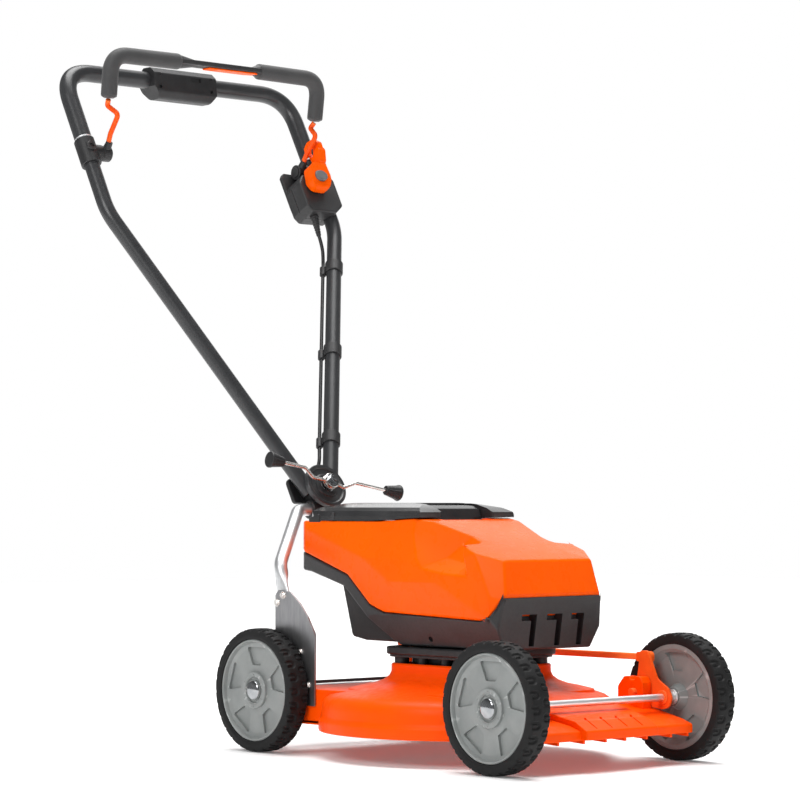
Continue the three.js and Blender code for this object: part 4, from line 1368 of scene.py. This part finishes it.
def handle_arch():
    """The bent aluminium tube over the housing, with its feet flattened against the plates."""
    foot_x = PLATE_X[0] - ARCH_RADIUS - 0.0006
    right = [
        ((-foot_x, 0.241, 0.236), 0),
        ((-foot_x, 0.260, 0.287), 0.030),
        ((-0.050, FOLD.y, FOLD.z), 0.024),
    ]
    left = [((-point[0], point[1], point[2]), radius) for point, radius in reversed(right)]
    path = finely(rounded_path(right + left, 14), 0.004)
    tube = swept("handle_arch_fine", path, ARCH_RADIUS, 48)
    for vert in tube.data.vertices:
        share = max(0.0, min(1.0, (0.278 - vert.co.z) / 0.022))
        ease = share * share * (3 - 2 * share)
        sign = 1 if vert.co.x > 0 else -1
        wall = sign * (foot_x + ARCH_RADIUS - 0.0004)
        vert.co.x = wall + (vert.co.x - wall) * (1 - 0.55 * ease)
        middle = 0.241 + (vert.co.z - 0.236) * 0.373 + MID_Y
        vert.co.y = middle + (vert.co.y - middle) * (1 + 0.3 * ease)
    return tube


def clamp_bracket():
    """The black bracket that folds on the arch's top bar and backs the clamp."""
    barrel = bar("barrel", (-0.028, FOLD.y, FOLD.z), (0.028, FOLD.y, FOLD.z), 0.014, sides=48)
    bore = bar("bore", (-0.04, FOLD.y, FOLD.z), (0.04, FOLD.y, FOLD.z), ARCH_RADIUS + 0.0003, sides=48)
    cut(barrel, bore)
    up = (FOLD - CLAMP).dot(UP_HANDLE)
    back = rounded_outline([
        (-0.046, up + 0.017, 0.006), (0.046, up + 0.017, 0.006), (0.046, 0.0322, 0.012),
        (-0.046, 0.0322, 0.012),
    ])
    plate = bevel(on_slope("plate", back, CLAMP, -0.021, -0.014), 0.0018, 3)
    for sign in (-1, 1):
        for rise in (-0.002, 0.018):
            slot = rounded_outline([
                (sign * 0.034, rise, 0.002), (sign * 0.041, rise, 0.002),
                (sign * 0.041, rise + 0.012, 0.002), (sign * 0.034, rise + 0.012, 0.002),
            ])
            cut(plate, on_slope("slot", slot, CLAMP, -0.03, -0.0165))
    neck = [(-0.028, up - 0.006), (0.028, up - 0.006), (0.028, up + 0.02), (-0.028, up + 0.02)]
    arm = bevel(on_slope("neck", neck, CLAMP, -0.021, -0.014), 0.0015, 3)
    rims = []
    for sign in (-1, 1):
        start = (sign * 0.0245, FOLD.y, FOLD.z)
        end = (sign * 0.0275, FOLD.y, FOLD.z)
        ring = bar("rim", start, end, 0.0148, sides=48)
        rims.append(cut(ring, bar("bore", (-0.04, FOLD.y, FOLD.z), (0.04, FOLD.y, FOLD.z), 0.0103)))
    return join("clamp_bracket_fine", barrel, plate, arm, *rims)


def clamp_disc():
    """The grey disc that presses on the tubes' feet, with a dished ring in its face."""
    profile = [
        (5.4, 13.2), (37.2, 13.2), (38, 14), (38, 20.6), (37, 22), (33, 22), (31.6, 21.2), (30.4, 19.4),
        (22, 18.6), (20.6, 19.2), (19.6, 21.4), (18.4, 22), (5.4, 22), (5.4, 13.2),
    ]
    return turned("clamp_disc_fine", profile, CLAMP, CLAMP_AXIS, 96)


def clamp_bolt():
    """The clamp's bolt: head behind, washers, a nut in front and the end of its thread."""
    def at(out):
        return CLAMP + CLAMP_AXIS * out

    pieces = [
        bar("shank", at(-0.025), at(0.038), 0.005, sides=32),
        bar("head", at(-0.027), at(-0.0214), 0.009, sides=6),
        bar("washer", at(0.0221), at(0.0236), 0.0125, sides=48),
        bar("washer", at(0.0382), at(0.0396), 0.0115, sides=48),
        bar("nut", at(0.0396), at(0.0452), 0.0088, sides=6),
    ]
    thread = []
    for i in range(17):
        thread.append((4.2 if i % 2 else 4.9, 30 + i))
    profile = [(0, 30)] + thread + [(3.6, 46.3), (0, 46.6)]
    pieces.append(turned("thread", profile, CLAMP, CLAMP_AXIS, 32))
    return join("clamp_bolt_fine", *pieces)


def wing_lever():
    """The bent wire lever that turns the clamp's cam."""
    corners = [
        (on_handle(-0.096, 0.0295, 0.042), 0),
        (on_handle(-0.052, 0.020, 0.042), 0.006),
        (on_handle(-0.034, 0.006, 0.034), 0.006),
        (on_handle(0, 0, 0.034), 0.01),
        (on_handle(0.020, -0.012, 0.034), 0.006),
        (on_handle(0.042, -0.008, 0.042), 0.006),
        (on_handle(0.103, -0.0215, 0.042), 0),
    ]
    wire = swept("wire", rounded_path(corners, 8), 0.003, 24)
    hub = [(5.5, 27.8), (12.2, 27.8), (13, 28.6), (13, 30), (10.5, 31), (10.5, 35.4)]
    hub += [(13, 36.4), (13, 37.4), (12.2, 38), (5.5, 38), (5.5, 27.8)]
    return join("wing_lever_fine", wire, turned("hub", hub, CLAMP, CLAMP_AXIS, 48))


KNOB_FLUTES = 6
FLUTE_DEPTH = 0.0009


def lever_knob(sign):
    """A tapered black knob on the end of the wire, with shallow flutes."""
    root = on_handle(*mm((-93, 28.9, 42), (100, -20.8, 42))[sign > 0])
    tip = on_handle(*mm((-120, 34.5, 42), (128, -26.5, 42))[sign > 0])
    axis = tip - root
    long = axis.length / MM
    profile = [(3.4, 0), (6.6, 0), (7.8, 1), (8.4, 4), (11.6, long - 8), (13.2, long - 4)]
    profile += [(13.4, long - 2), (12.4, long - 0.4), (9, long), (0, long)]
    knob = turned("knob", profile, root, axis, 96, 40)
    centre = Vector(root) + Vector((0, MID_Y, 0))
    unit = axis.normalized()
    for vert in knob.data.vertices:
        out = vert.co - centre
        along = out.dot(unit)
        radial = out - unit * along
        if 0.002 < along < axis.length - 0.0035 and radial.length > 0.004:
            side = radial.normalized()
            first = side.dot(unit.cross(Vector((1, 0, 0))))
            second = side.dot(unit.cross(Vector((0, 1, 0))))
            turn = math.atan2(first, second)
            dip = 0.5 - 0.5 * math.cos(KNOB_FLUTES * turn)
            vert.co -= side * FLUTE_DEPTH * dip
    return knob


def add_handle_support():
    plate = side_plate()
    bolts = plate_bolts()
    fine(mirrored(plate, "plate_right_fine"), "plate_right", PLATE_STEEL)
    dress(mirrored(bolts, "plate_bolts_right"), "chassis", ZINC, slot="chrome")
    plate.name = "plate_left_fine"
    bolts.name = "plate_bolts_left"
    fine(plate, "plate_left", PLATE_STEEL)
    dress(bolts, "chassis", ZINC, slot="chrome")
    fine(handle_arch(), "handle_arch", SILVER)
    fine(clamp_bracket(), "clamp_bracket", BLACK)
    fine(clamp_disc(), "clamp_disc", TUBE)
    fine(clamp_bolt(), "clamp_bolt", CHROME)
    fine(wing_lever(), "wing_lever", ZINC)
    for side, sign in (("left", 1), ("right", -1)):
        knob = lever_knob(sign)
        knob.name = f"lever_knob_{side}_fine"
        fine(knob, f"lever_knob_{side}", BLACK)


# ---------------------------------------------------------------- handle

LOWER_TUBE = 0.01275
UPPER_TUBE = 0.0145
KNUCKLE = 0.017
HANDLE_HALF = 0.241
FOOT_X = 0.0227
FOOT_UP = -0.004
BEND_UP = 0.5187
JOINT_UP = 0.662
TOP_BAR_UP = 0.801
BAIL_UP = (BAIL_PIVOT - CLAMP).dot(UP_HANDLE)


def lower_tube_x(up):
    if up > BEND_UP:
        return HANDLE_HALF
    return FOOT_X + (HANDLE_HALF - FOOT_X) / BEND_UP * up


def lower_tube():
    corners = [
        (on_handle(lower_tube_x(FOOT_UP), FOOT_UP), 0),
        (on_handle(HANDLE_HALF, BEND_UP), 0.110),
        (on_handle(HANDLE_HALF, JOINT_UP - 0.0003), 0),
    ]
    return swept("lower_tube_left_fine", rounded_path(corners, 24), LOWER_TUBE, 56)


def upper_tube():
    corners = [
        (on_handle(-HANDLE_HALF, JOINT_UP), 0),
        (on_handle(-HANDLE_HALF, TOP_BAR_UP), 0.062),
        (on_handle(HANDLE_HALF, TOP_BAR_UP), 0.062),
        (on_handle(HANDLE_HALF, JOINT_UP), 0),
    ]
    return swept("upper_tube_fine", rounded_path(corners, 24), UPPER_TUBE, 56)


def joint_rings():
    """A bright ring where each upper tube meets the lower one."""
    rings = []
    for sign in (-1, 1):
        low = on_handle(sign * HANDLE_HALF, JOINT_UP - 0.0028)
        high = on_handle(sign * HANDLE_HALF, JOINT_UP + 0.0006)
        rings.append(bar("ring", low, high, 0.0151, sides=56))
    return join("tube_joint_rings", *rings)


def spigot(sign, root_x):
    """The boss that reaches in from the tube and the spigot that carries the bail's collar."""
    root = on_handle(sign * root_x, BAIL_UP)
    shoulder = on_handle(sign * 0.216, BAIL_UP)
    tip = on_handle(sign * 0.197, BAIL_UP)
    boss = bevel(bar("boss", root, shoulder, 0.014, sides=48), 0.002, 3)
    stem = bar("stem", shoulder, tip, 0.009, sides=40)
    return [boss, stem]


def knuckle():
    low = on_handle(-HANDLE_HALF, 0.611)
    high = on_handle(-HANDLE_HALF, JOINT_UP - 0.0035)
    sleeve = bevel(bar("sleeve", low, high, KNUCKLE, sides=64), 0.0022, 3)
    face = on_handle(-HANDLE_HALF - 0.002, BAIL_UP + 0.002, 0.0135)
    pad = bevel(bar("pad", face, face + CLAMP_AXIS * 0.0052, 0.0085, sides=40), 0.0012, 2)
    hole = bar("hole", face + CLAMP_AXIS * 0.001, face + CLAMP_AXIS * 0.01, 0.0042, sides=32)
    cut(pad, hole)
    return join("tube_knuckle_right_fine", sleeve, pad, *spigot(-1, 0.240))


def knuckle_screw():
    face = on_handle(-HANDLE_HALF - 0.002, BAIL_UP + 0.002, 0.0145)
    return bar("knuckle_screw", face, face + CLAMP_AXIS * 0.0018, 0.004, sides=24)


def control_box():
    """The switch housing on the left tube: two faceted shells around it, under the bail's pivot."""
    outer = HANDLE_HALF + KNUCKLE
    low = rounded_outline([
        (0.184, 0.5405, 0.008), (0.238, 0.5405, 0.006), (outer, 0.556, 0.008), (outer, 0.608, 0.006),
        (outer - 0.006, 0.618, 0.004), (0.188, 0.615, 0.010), (0.1765, 0.598, 0.008), (0.1765, 0.552, 0.008),
    ], 4)
    lower = on_slope("low", low, CLAMP, -0.022, 0.024)
    high = rounded_outline([
        (0.226, 0.600, 0.002), (outer - 0.002, 0.600, 0.002), (outer - 0.002, 0.650, 0.004),
        (outer - 0.008, 0.656, 0.004), (0.232, 0.656, 0.004), (0.226, 0.648, 0.004),
    ], 4)
    upper = on_slope("high", high, CLAMP, -0.020, 0.022)
    bevel(lower, 0.004, 3)
    bevel(upper, 0.003, 3)
    groove = on_slope("groove", [
        (0.17, 0.52), (0.28, 0.52), (0.28, 0.67), (0.17, 0.67),
    ], CLAMP, -0.0022, -0.0012)
    core = on_slope("core", rounded_outline([
        (0.1780, 0.542, 0.006), (outer - 0.0015, 0.542, 0.006), (outer - 0.0015, 0.6135, 0.006),
        (0.1780, 0.6135, 0.006),
    ], 4), CLAMP, -0.0024, -0.001)
    cut(groove, core)
    cut(lower, groove)
    back = bevel(on_slope("back", rounded_outline([
        (0.1775, 0.560, 0.008), (0.232, 0.560, 0.004), (0.232, 0.641, 0.006), (0.184, 0.643, 0.008),
        (0.1775, 0.634, 0.006),
    ], 4), CLAMP, -0.0222, -0.0148), 0.0022, 3)
    return join("control_box_fine", lower, upper, back, *spigot(1, 0.228))


def start_lever():
    """The orange start lever: a rounded head with the grey button, an arm and a hooked end."""
    side = rounded_outline(mm(
        (574, 28, 2), (590, 25.8, 2), (640, 25.8, 3), (642, 36, 4), (634, 46, 6), (622, 48, 8),
        (600, 48.6, 10), (579, 42, 8),
    ))
    form = across_handle("start_lever_fine", side, 0.186, 0.230, 20)
    head = rounded_outline(mm(
        (187, 592, 14), (192, 577, 12), (222, 575, 12), (229.5, 590, 10), (228, 634, 5),
        (226, 641, 3), (219, 641, 3), (217, 630, 6), (194, 624, 14),
    ), 8)
    combine(form, on_slope("head", head, CLAMP, 0.02, 0.06), "INTERSECT")
    bevel(tidy_faces(form), 0.0024, 3, 24)
    cut(form, on_slope("pocket", button_outline(0.0004), CLAMP, 0.0405, 0.06))
    shade(form, 32)
    return join("start_lever_fine", form, start_lever_hook())


def start_lever_hook():
    """The open hook above the lever's head, beside the bail's rod."""
    outside = rounded_outline(mm(
        (630, 27, 2), (630, 45, 6), (648, 56, 8), (664, 57, 8), (676, 47, 8), (679.5, 32, 8),
        (674, 20, 6), (661, 17, 2), (657, 24, 4), (640, 27, 6),
    ))
    inside = rounded_outline(mm(
        (648, 31, 2), (650, 37, 4), (660, 40, 5), (668, 35, 5), (669, 28, 4), (661, 25, 3),
        (654, 28, 3),
    ))
    solids = []
    for outline, low, high in ((outside, 0.2185, 0.2275), (inside, 0.210, 0.240)):
        solids.append(across_handle("hook", outline, low, high))
    hook = bevel(cut(solids[0], solids[1]), 0.0018, 3)
    arm = rounded_outline(mm(
        (622, 38, 3), (630, 50, 6), (648, 57, 5), (656, 55, 6), (652, 46, 6), (636, 38, 4),
    ))
    return join("hook", hook, bevel(across_handle("arm", arm, 0.2155, 0.2305), 0.002, 3))


def button_outline(grow=0.0):
    wide, tall = 0.0130 + grow, 0.0102 + grow
    middle = (0.2075, 0.5985)
    angles = [2 * math.pi * i / 48 for i in range(48)]
    return [(middle[0] + wide * math.cos(a), middle[1] + tall * math.sin(a)) for a in angles]


def start_button():
    button = on_slope("start_button_fine", button_outline(), CLAMP, 0.0445, 0.0508)
    return bevel(button, 0.0018, 4, 50)


def console():
    """The black box round the middle of the top bar."""
    top = on_handle(0, TOP_BAR_UP)
    side = mm(
        (-29, -20, 8), (-20, -32.5, 12), (7, -32.5, 10), (17.5, -20, 8), (17.5, 12, 5),
        (7, 21.5, 5), (-13, 21.5, 5), (-25, 12, 6),
    )
    side = [(top.y + y, top.z + z) for y, z in rounded_outline(side, 5)]
    form = slab("console", side, "X", -0.066, 0.066)
    plan = mm(
        (-58, 1140), (60, 1140), (66, 1132), (66, 1086), (56, 1068), (-50, 1068), (-66, 1092),
        (-66, 1132),
    )
    combine(form, slab("plan", plan, "Y", top.y - 0.05, top.y + 0.05), "INTERSECT")
    bevel(tidy_faces(form), 0.0026, 3, 22)
    slot = box("slot", (0.010, top.y - 0.05, top.z + 0.002), (0.032, top.y - 0.0235, top.z + 0.009))
    cut(form, slot)
    for x in (-0.054, 0.054):
        for rise in (-0.012, 0.010):
            start = (x, top.y - 0.04, top.z + rise)
            end = (x, top.y - 0.0235, top.z + rise)
            cut(form, bar("hole", start, end, 0.0032, sides=24))
    shade(form, 32)
    form.name = "console_fine"
    return form


def add_handle():
    tube = lower_tube()
    fine(mirrored(tube, "lower_tube_right_fine"), "lower_tube_right", TUBE)
    fine(tube, "lower_tube_left", TUBE)
    fine(upper_tube(), "upper_tube", TUBE)
    dress(joint_rings(), "handle", SILVER, slot="aluminium")
    fine(knuckle(), "tube_knuckle_right", BLACK)
    dress(knuckle_screw(), "handle", ZINC, slot="chrome")
    fine(control_box(), "control_box", DARK)
    fine(start_lever(), "start_lever", ORANGE)
    fine(start_button(), "start_button", BUTTON_GREY)
    fine(console(), "console", BLACK)


# ---------------------------------------------------------------- bail

BAIL_TOP = (0.622, 1.119)
BAIL_END = (0.631, 1.047)
BAIL_RADIUS = 0.0135
BAR_YZ = (BAIL_TOP[0] - 0.001, BAIL_TOP[1] + 0.001)


def bail_grip(sign):
    """One soft grip: up the side, round the bend and in along the bar, with rounded ends."""
    corners = [
        ((sign * 0.219, *BAIL_END), 0),
        ((sign * 0.220, *BAIL_TOP), 0.032),
        ((sign * 0.082, *BAR_YZ), 0),
    ]
    path = finely(rounded_path(corners, 24), 0.003)

    def size(share):
        near = min(share, 1 - share) * 0.18
        dome = math.sqrt(max(0.0, 1 - (1 - min(1.0, near / 0.0045)) ** 2))
        return BAIL_RADIUS * (0.55 + 0.45 * dome)

    return swept("grip", path, size, 48, 60)


def bail_plate():
    """The flat dark plate between the grips."""
    outline = rounded_outline(mm(
        (-100, 632, 6), (-84, 607, 10), (84, 607, 10), (100, 632, 6), (66, 637, 8), (-66, 637, 8)
    ))
    plate = bevel(slab("plate", outline, "Z", 1.1158, 1.1240), 0.0025, 3)
    pieces = [plate]
    for sign, reach in ((-1, 0.040), (1, 0.066)):
        root = (sign * 0.0865, *BAR_YZ)
        tip = (sign * reach, *BAR_YZ)
        pieces.append(bar("fairing", root, tip, 0.0122, 0.0042, sides=40))
    return join("bail_plate_top", *pieces)


def bail_underside():
    """The orange tray under the plate."""
    outline = rounded_outline(mm(
        (-26, 612, 4), (76, 610, 6), (84, 626, 6), (60, 633, 8), (-26, 633, 4)
    ))
    return bevel(slab("bail_plate_tray", outline, "Z", 1.1130, 1.1156), 0.001, 3)


def bail_rod(sign):
    pivot = on_handle(sign * 0.207, BAIL_UP)
    corners = [
        ((sign * 0.219, 0.632, BAIL_END[1] - 0.002), 0),
        ((sign * 0.216, 0.639, 1.036), 0.004),
        ((sign * 0.210, 0.616, 1.020), 0.008),
        ((sign * 0.209, 0.640, 0.990), 0.008),
        ((pivot.x, pivot.y - 0.007, pivot.z + 0.009), 0),
    ]
    return swept("rod", rounded_path(corners, 10), 0.00425, 28)


def bail_collar(sign):
    """The black collar that turns on the spigot and holds the rod's lower end."""
    profile = [(9.7, -8.2), (12.4, -8.2), (13, -7.6), (13, 7.6), (12.4, 8.2), (9.7, 8.2), (9.7, -8.2)]
    centre = on_handle(sign * 0.2072, BAIL_UP)
    ring = turned("ring", profile, centre, (1, 0, 0), 56)
    rise = Vector((0, -0.007, 0.009)).normalized()
    socket = bar("socket", centre + rise * 0.011, centre + rise * 0.0235, 0.0068, 0.0056)
    return join("collar", ring, socket)


def add_bail():
    for side, sign in (("left", 1), ("right", -1)):
        grip = bail_grip(sign)
        grip.name = f"bail_grip_{side}"
        dress(grip, "bail", GRIP, "bail_grip")
        rod = bail_rod(sign)
        rod.name = f"bail_rod_{side}_fine"
        dress(rod, "bail", STEEL_ORANGE, f"bail_rod_{side}")
        collar = bail_collar(sign)
        collar.name = f"bail_collar_{side}"
        dress(collar, "bail", BLACK, f"bail_rod_{side}")
    dress(bail_plate(), "bail", DARK, "bail_grip")
    dress(bail_underside(), "bail", ORANGE, "bail_grip")


# ---------------------------------------------------------------- control cable

CABLE_RADIUS = 0.003
CABLE_OFFSET = 0.0189
CLIP_UPS = (0.4378, 0.2678, 0.0966)
CABLE_SPLIT = (0.0155, 0.0385, -0.0265)
BEND_START = (0.014, 0.012, -0.031)
CABLE_BORE = 3.1  # in millimetres, for profiles


def cable_beside(up):
    """The cable's centre beside the left lower tube, inwards and behind it."""
    aside = CABLE_OFFSET * 0.82 / math.cos(0.398)
    return on_handle(lower_tube_x(up) - aside, up, -CABLE_OFFSET * 0.57)


def cable_route():
    """The cable's whole route, from the switch housing to the lower housing."""
    upper = [on_handle(0.200, 0.5045, 0), on_handle(0.2005, 0.490, -0.002)]
    upper += [on_handle(0.201, 0.475, -0.006), cable_beside(0.455)]
    for high, low in zip(CLIP_UPS, CLIP_UPS[1:]):
        upper += [cable_beside(high), cable_beside((high + low) / 2)]
    upper += [cable_beside(CLIP_UPS[-1]), cable_beside(0.060), on_handle(0.022, 0.042, -0.021)]
    middle = [on_handle(*CABLE_SPLIT), on_handle(0.014, 0.034, -0.029)]
    lower = [on_handle(*BEND_START)]
    lower += [Vector(p) for p in mm((18, 377, 376), (26, 366, 350), (34, 340, 331), (38, 312, 324))]
    lower.append(Vector((0.038, 0.2835, 0.322)))
    return upper, middle, lower


def add_cable():
    upper, middle, lower = cable_route()
    whole = smooth_path(upper + middle + lower, 8)
    split_z = on_handle(*CABLE_SPLIT).z
    top = [p for p in whole if p.z >= split_z]
    bottom = [p for p in whole if p.z < split_z]
    bottom.insert(0, top[-1])
    cable = swept("control_cable_upper_fine", top, CABLE_RADIUS, 20)
    dress(cable, "handle", BLACK, "control_cable_upper")
    lead = swept("control_cable_lower_fine", bottom, CABLE_RADIUS, 20)
    dress(lead, None, BLACK, "control_cable_lower")
    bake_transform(lead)
    fine(strain_relief(), "strain_relief", BLACK)
    dress(cable_gland(), "chassis", BLACK, slot="black_plastic")


def strain_relief():
    """The tapered sleeve with six ribs where the cable leaves the switch housing."""
    start = on_handle(0.200, 0.540, 0.0052)
    run = on_handle(0.200, 0.505, 0) - start
    length = run.length / MM
    profile = [(CABLE_BORE, 0), (7.4, 0), (7.4, 2.4)]
    for i in range(6):
        base = 4.0 + 4.6 * i
        wide = 6.6 - 0.38 * i
        profile += [(wide - 0.9, base), (wide, base + 0.8)]
        profile += [(wide - 0.1, base + 3.0), (wide - 0.9, base + 3.6)]
    profile += [(4.2, 33), (3.9, length), (CABLE_BORE, length), (CABLE_BORE, 0)]
    return turned("strain_relief_fine", profile, start, run, 48)


def cable_gland():
    """The collar in which the cable enters the housing."""
    profile = [
        (CABLE_BORE, -6), (7, -6), (7.4, -5), (7.4, 0), (CABLE_BORE, 0), (CABLE_BORE, -6),
    ]
    return turned("cable_gland", profile, (0.038, 0.2905, 0.322), (0, 1, 0), 40)


def cable_clip(number, up):
    """A clip that wraps the tube and holds the cable beside it."""
    ends = [on_handle(lower_tube_x(at), at) for at in (up - 0.010, up + 0.010)]
    axis = ends[1] - ends[0]
    tall = axis.length / MM
    profile = [(13.1, 0), (14.6, 0), (15.4, 0.8), (15.4, tall - 0.8), (14.6, tall), (13.1, tall), (13.1, 0)]
    band = turned("band", profile, ends[0], axis, 56)
    rope = [cable_beside(at) for at in (up - 0.009, up + 0.009)]
    holder = [(3.1, 0), (4.9, 0), (5.5, 0.7), (5.5, 17.3), (4.9, 18), (3.1, 18), (3.1, 0)]
    eye = turned("eye", holder, rope[0], rope[1] - rope[0], 32)
    web_start = ends[0].lerp(ends[1], 0.5)
    web_end = rope[0].lerp(rope[1], 0.5)
    run = (web_end - web_start).normalized()
    web = bar("web", web_start + run * 0.0142, web_end - run * 0.004, 0.0042, sides=24)
    return join(f"cable_clip_{number}_fine", band, eye, web)


def add_clips():
    for number, up in enumerate(CLIP_UPS, 1):
        fine(cable_clip(number, up), f"cable_clip_{number}", BLACK)


# ---------------------------------------------------------------- studio


def area_light(name, place, target, size, power, colour=(1, 1, 1)):
    data = bpy.data.lights.new(name, "AREA")
    data.shape = "RECTANGLE"
    data.size, data.size_y = size
    data.energy = power
    data.color = colour
    lamp = bpy.data.objects.new(name, data)
    bpy.context.scene.collection.objects.link(lamp)
    lamp.location = place
    lamp.rotation_euler = (Vector(target) - Vector(place)).to_track_quat("-Z", "Y").to_euler()


def add_floor():
    bm = bmesh.new()
    corners = [(-8, -8, 0), (8, -8, 0), (8, 8, 0), (-8, 8, 0)]
    bm.faces.new([bm.verts.new(corner) for corner in corners])
    mesh = bpy.data.meshes.new("floor")
    bm.to_mesh(mesh)
    bm.free()
    floor = bpy.data.objects.new("floor", mesh)
    bpy.context.scene.collection.objects.link(floor)
    paper = Finish("floor_paper")
    paper.colour(paper.colours(paper.noise(1.2, 2.0), (0.86, 0.86, 0.86), (0.9, 0.9, 0.9)))
    paper.roughness(paper.spread(paper.noise(8.0), 0.55, 0.65))
    paper.shader.inputs["Emission Color"].default_value = (1, 1, 1, 1)
    paper.shader.inputs["Emission Strength"].default_value = 0.1
    floor.data.materials.append(paper.material)


def add_studio():
    add_floor()
    bpy.context.scene.world = studio_world()
    middle = (0, 0, 0.45)
    area_light("key", (-3.9, -1.3, 3.0), middle, (2.0, 2.0), 105)
    area_light("fill", (1.6, -3.6, 1.8), middle, (3.0, 3.0), 6)
    sun = bpy.data.lights.new("sky", "SUN")
    sun.energy = 4.2
    sun.angle = math.radians(50)
    lamp = bpy.data.objects.new("sky", sun)
    lamp.rotation_euler = (math.radians(-6), math.radians(8), 0)
    bpy.context.scene.collection.objects.link(lamp)
    area_light("rim", (2.4, 2.1, 2.3), middle, (2.6, 2.6), 26)


def studio_world():
    """A pale horizon all round, darker overhead and below."""
    world = bpy.data.worlds.new("studio")
    world.use_nodes = True
    tree = world.node_tree
    place = tree.nodes.new("ShaderNodeTexCoord")
    split = tree.nodes.new("ShaderNodeSeparateXYZ")
    tree.links.new(place.outputs["Generated"], split.inputs["Vector"])
    height = tree.nodes.new("ShaderNodeMapRange")
    height.inputs["From Min"].default_value = -1.0
    tree.links.new(split.outputs["Z"], height.inputs["Value"])
    ramp = tree.nodes.new("ShaderNodeValToRGB")
    tree.links.new(height.outputs["Result"], ramp.inputs["Fac"])
    stops = ramp.color_ramp.elements
    stops[0].position, stops[1].position = 0.38, 0.46
    levels = [(0.38, 0.20), (0.46, 0.30), (0.62, 0.30), (0.78, 0.14)]
    for _ in levels[2:]:
        stops.new(0.9)
    for stop, (position, level) in zip(stops, levels):
        stop.position = position
        stop.color = (level, level, level, 1)
    seen = tree.nodes.new("ShaderNodeLightPath")
    mix = tree.nodes.new("ShaderNodeMix")
    mix.data_type = "RGBA"
    tree.links.new(seen.outputs["Is Camera Ray"], mix.inputs["Factor"])
    tree.links.new(ramp.outputs["Color"], mix.inputs["A"])
    mix.inputs["B"].default_value = (1, 1, 1, 1)
    background = tree.nodes["Background"]
    tree.links.new(mix.outputs["Result"], background.inputs["Color"])
    return world


CAMERA_LENS = 129.2
CAMERA_SENSOR = 36
CAMERA_PLACE = (-2.954, -3.2145, 0.383)
CAMERA_AIM = (0.6588, 0.7515, 0.0358)


def add_camera():
    """A long lens low down in front of the mower's right front wheel."""
    data = bpy.data.cameras.new("camera")
    data.lens = CAMERA_LENS
    data.sensor_width = CAMERA_SENSOR
    camera = bpy.data.objects.new("camera", data)
    bpy.context.scene.collection.objects.link(camera)
    x, y, z = CAMERA_PLACE
    camera.location = (x, y + MID_Y, z)
    camera.rotation_euler = Vector(CAMERA_AIM).to_track_quat("-Z", "Y").to_euler()
    bpy.context.scene.camera = camera


add_camera()
add_wheels()
add_height_adjuster()
add_deck()
add_cutting_drive()
add_housing()
add_handle_support()
add_handle()
add_bail()
add_cable()
add_clips()
add_studio()
bpy.context.scene.view_settings.view_transform = "Standard"
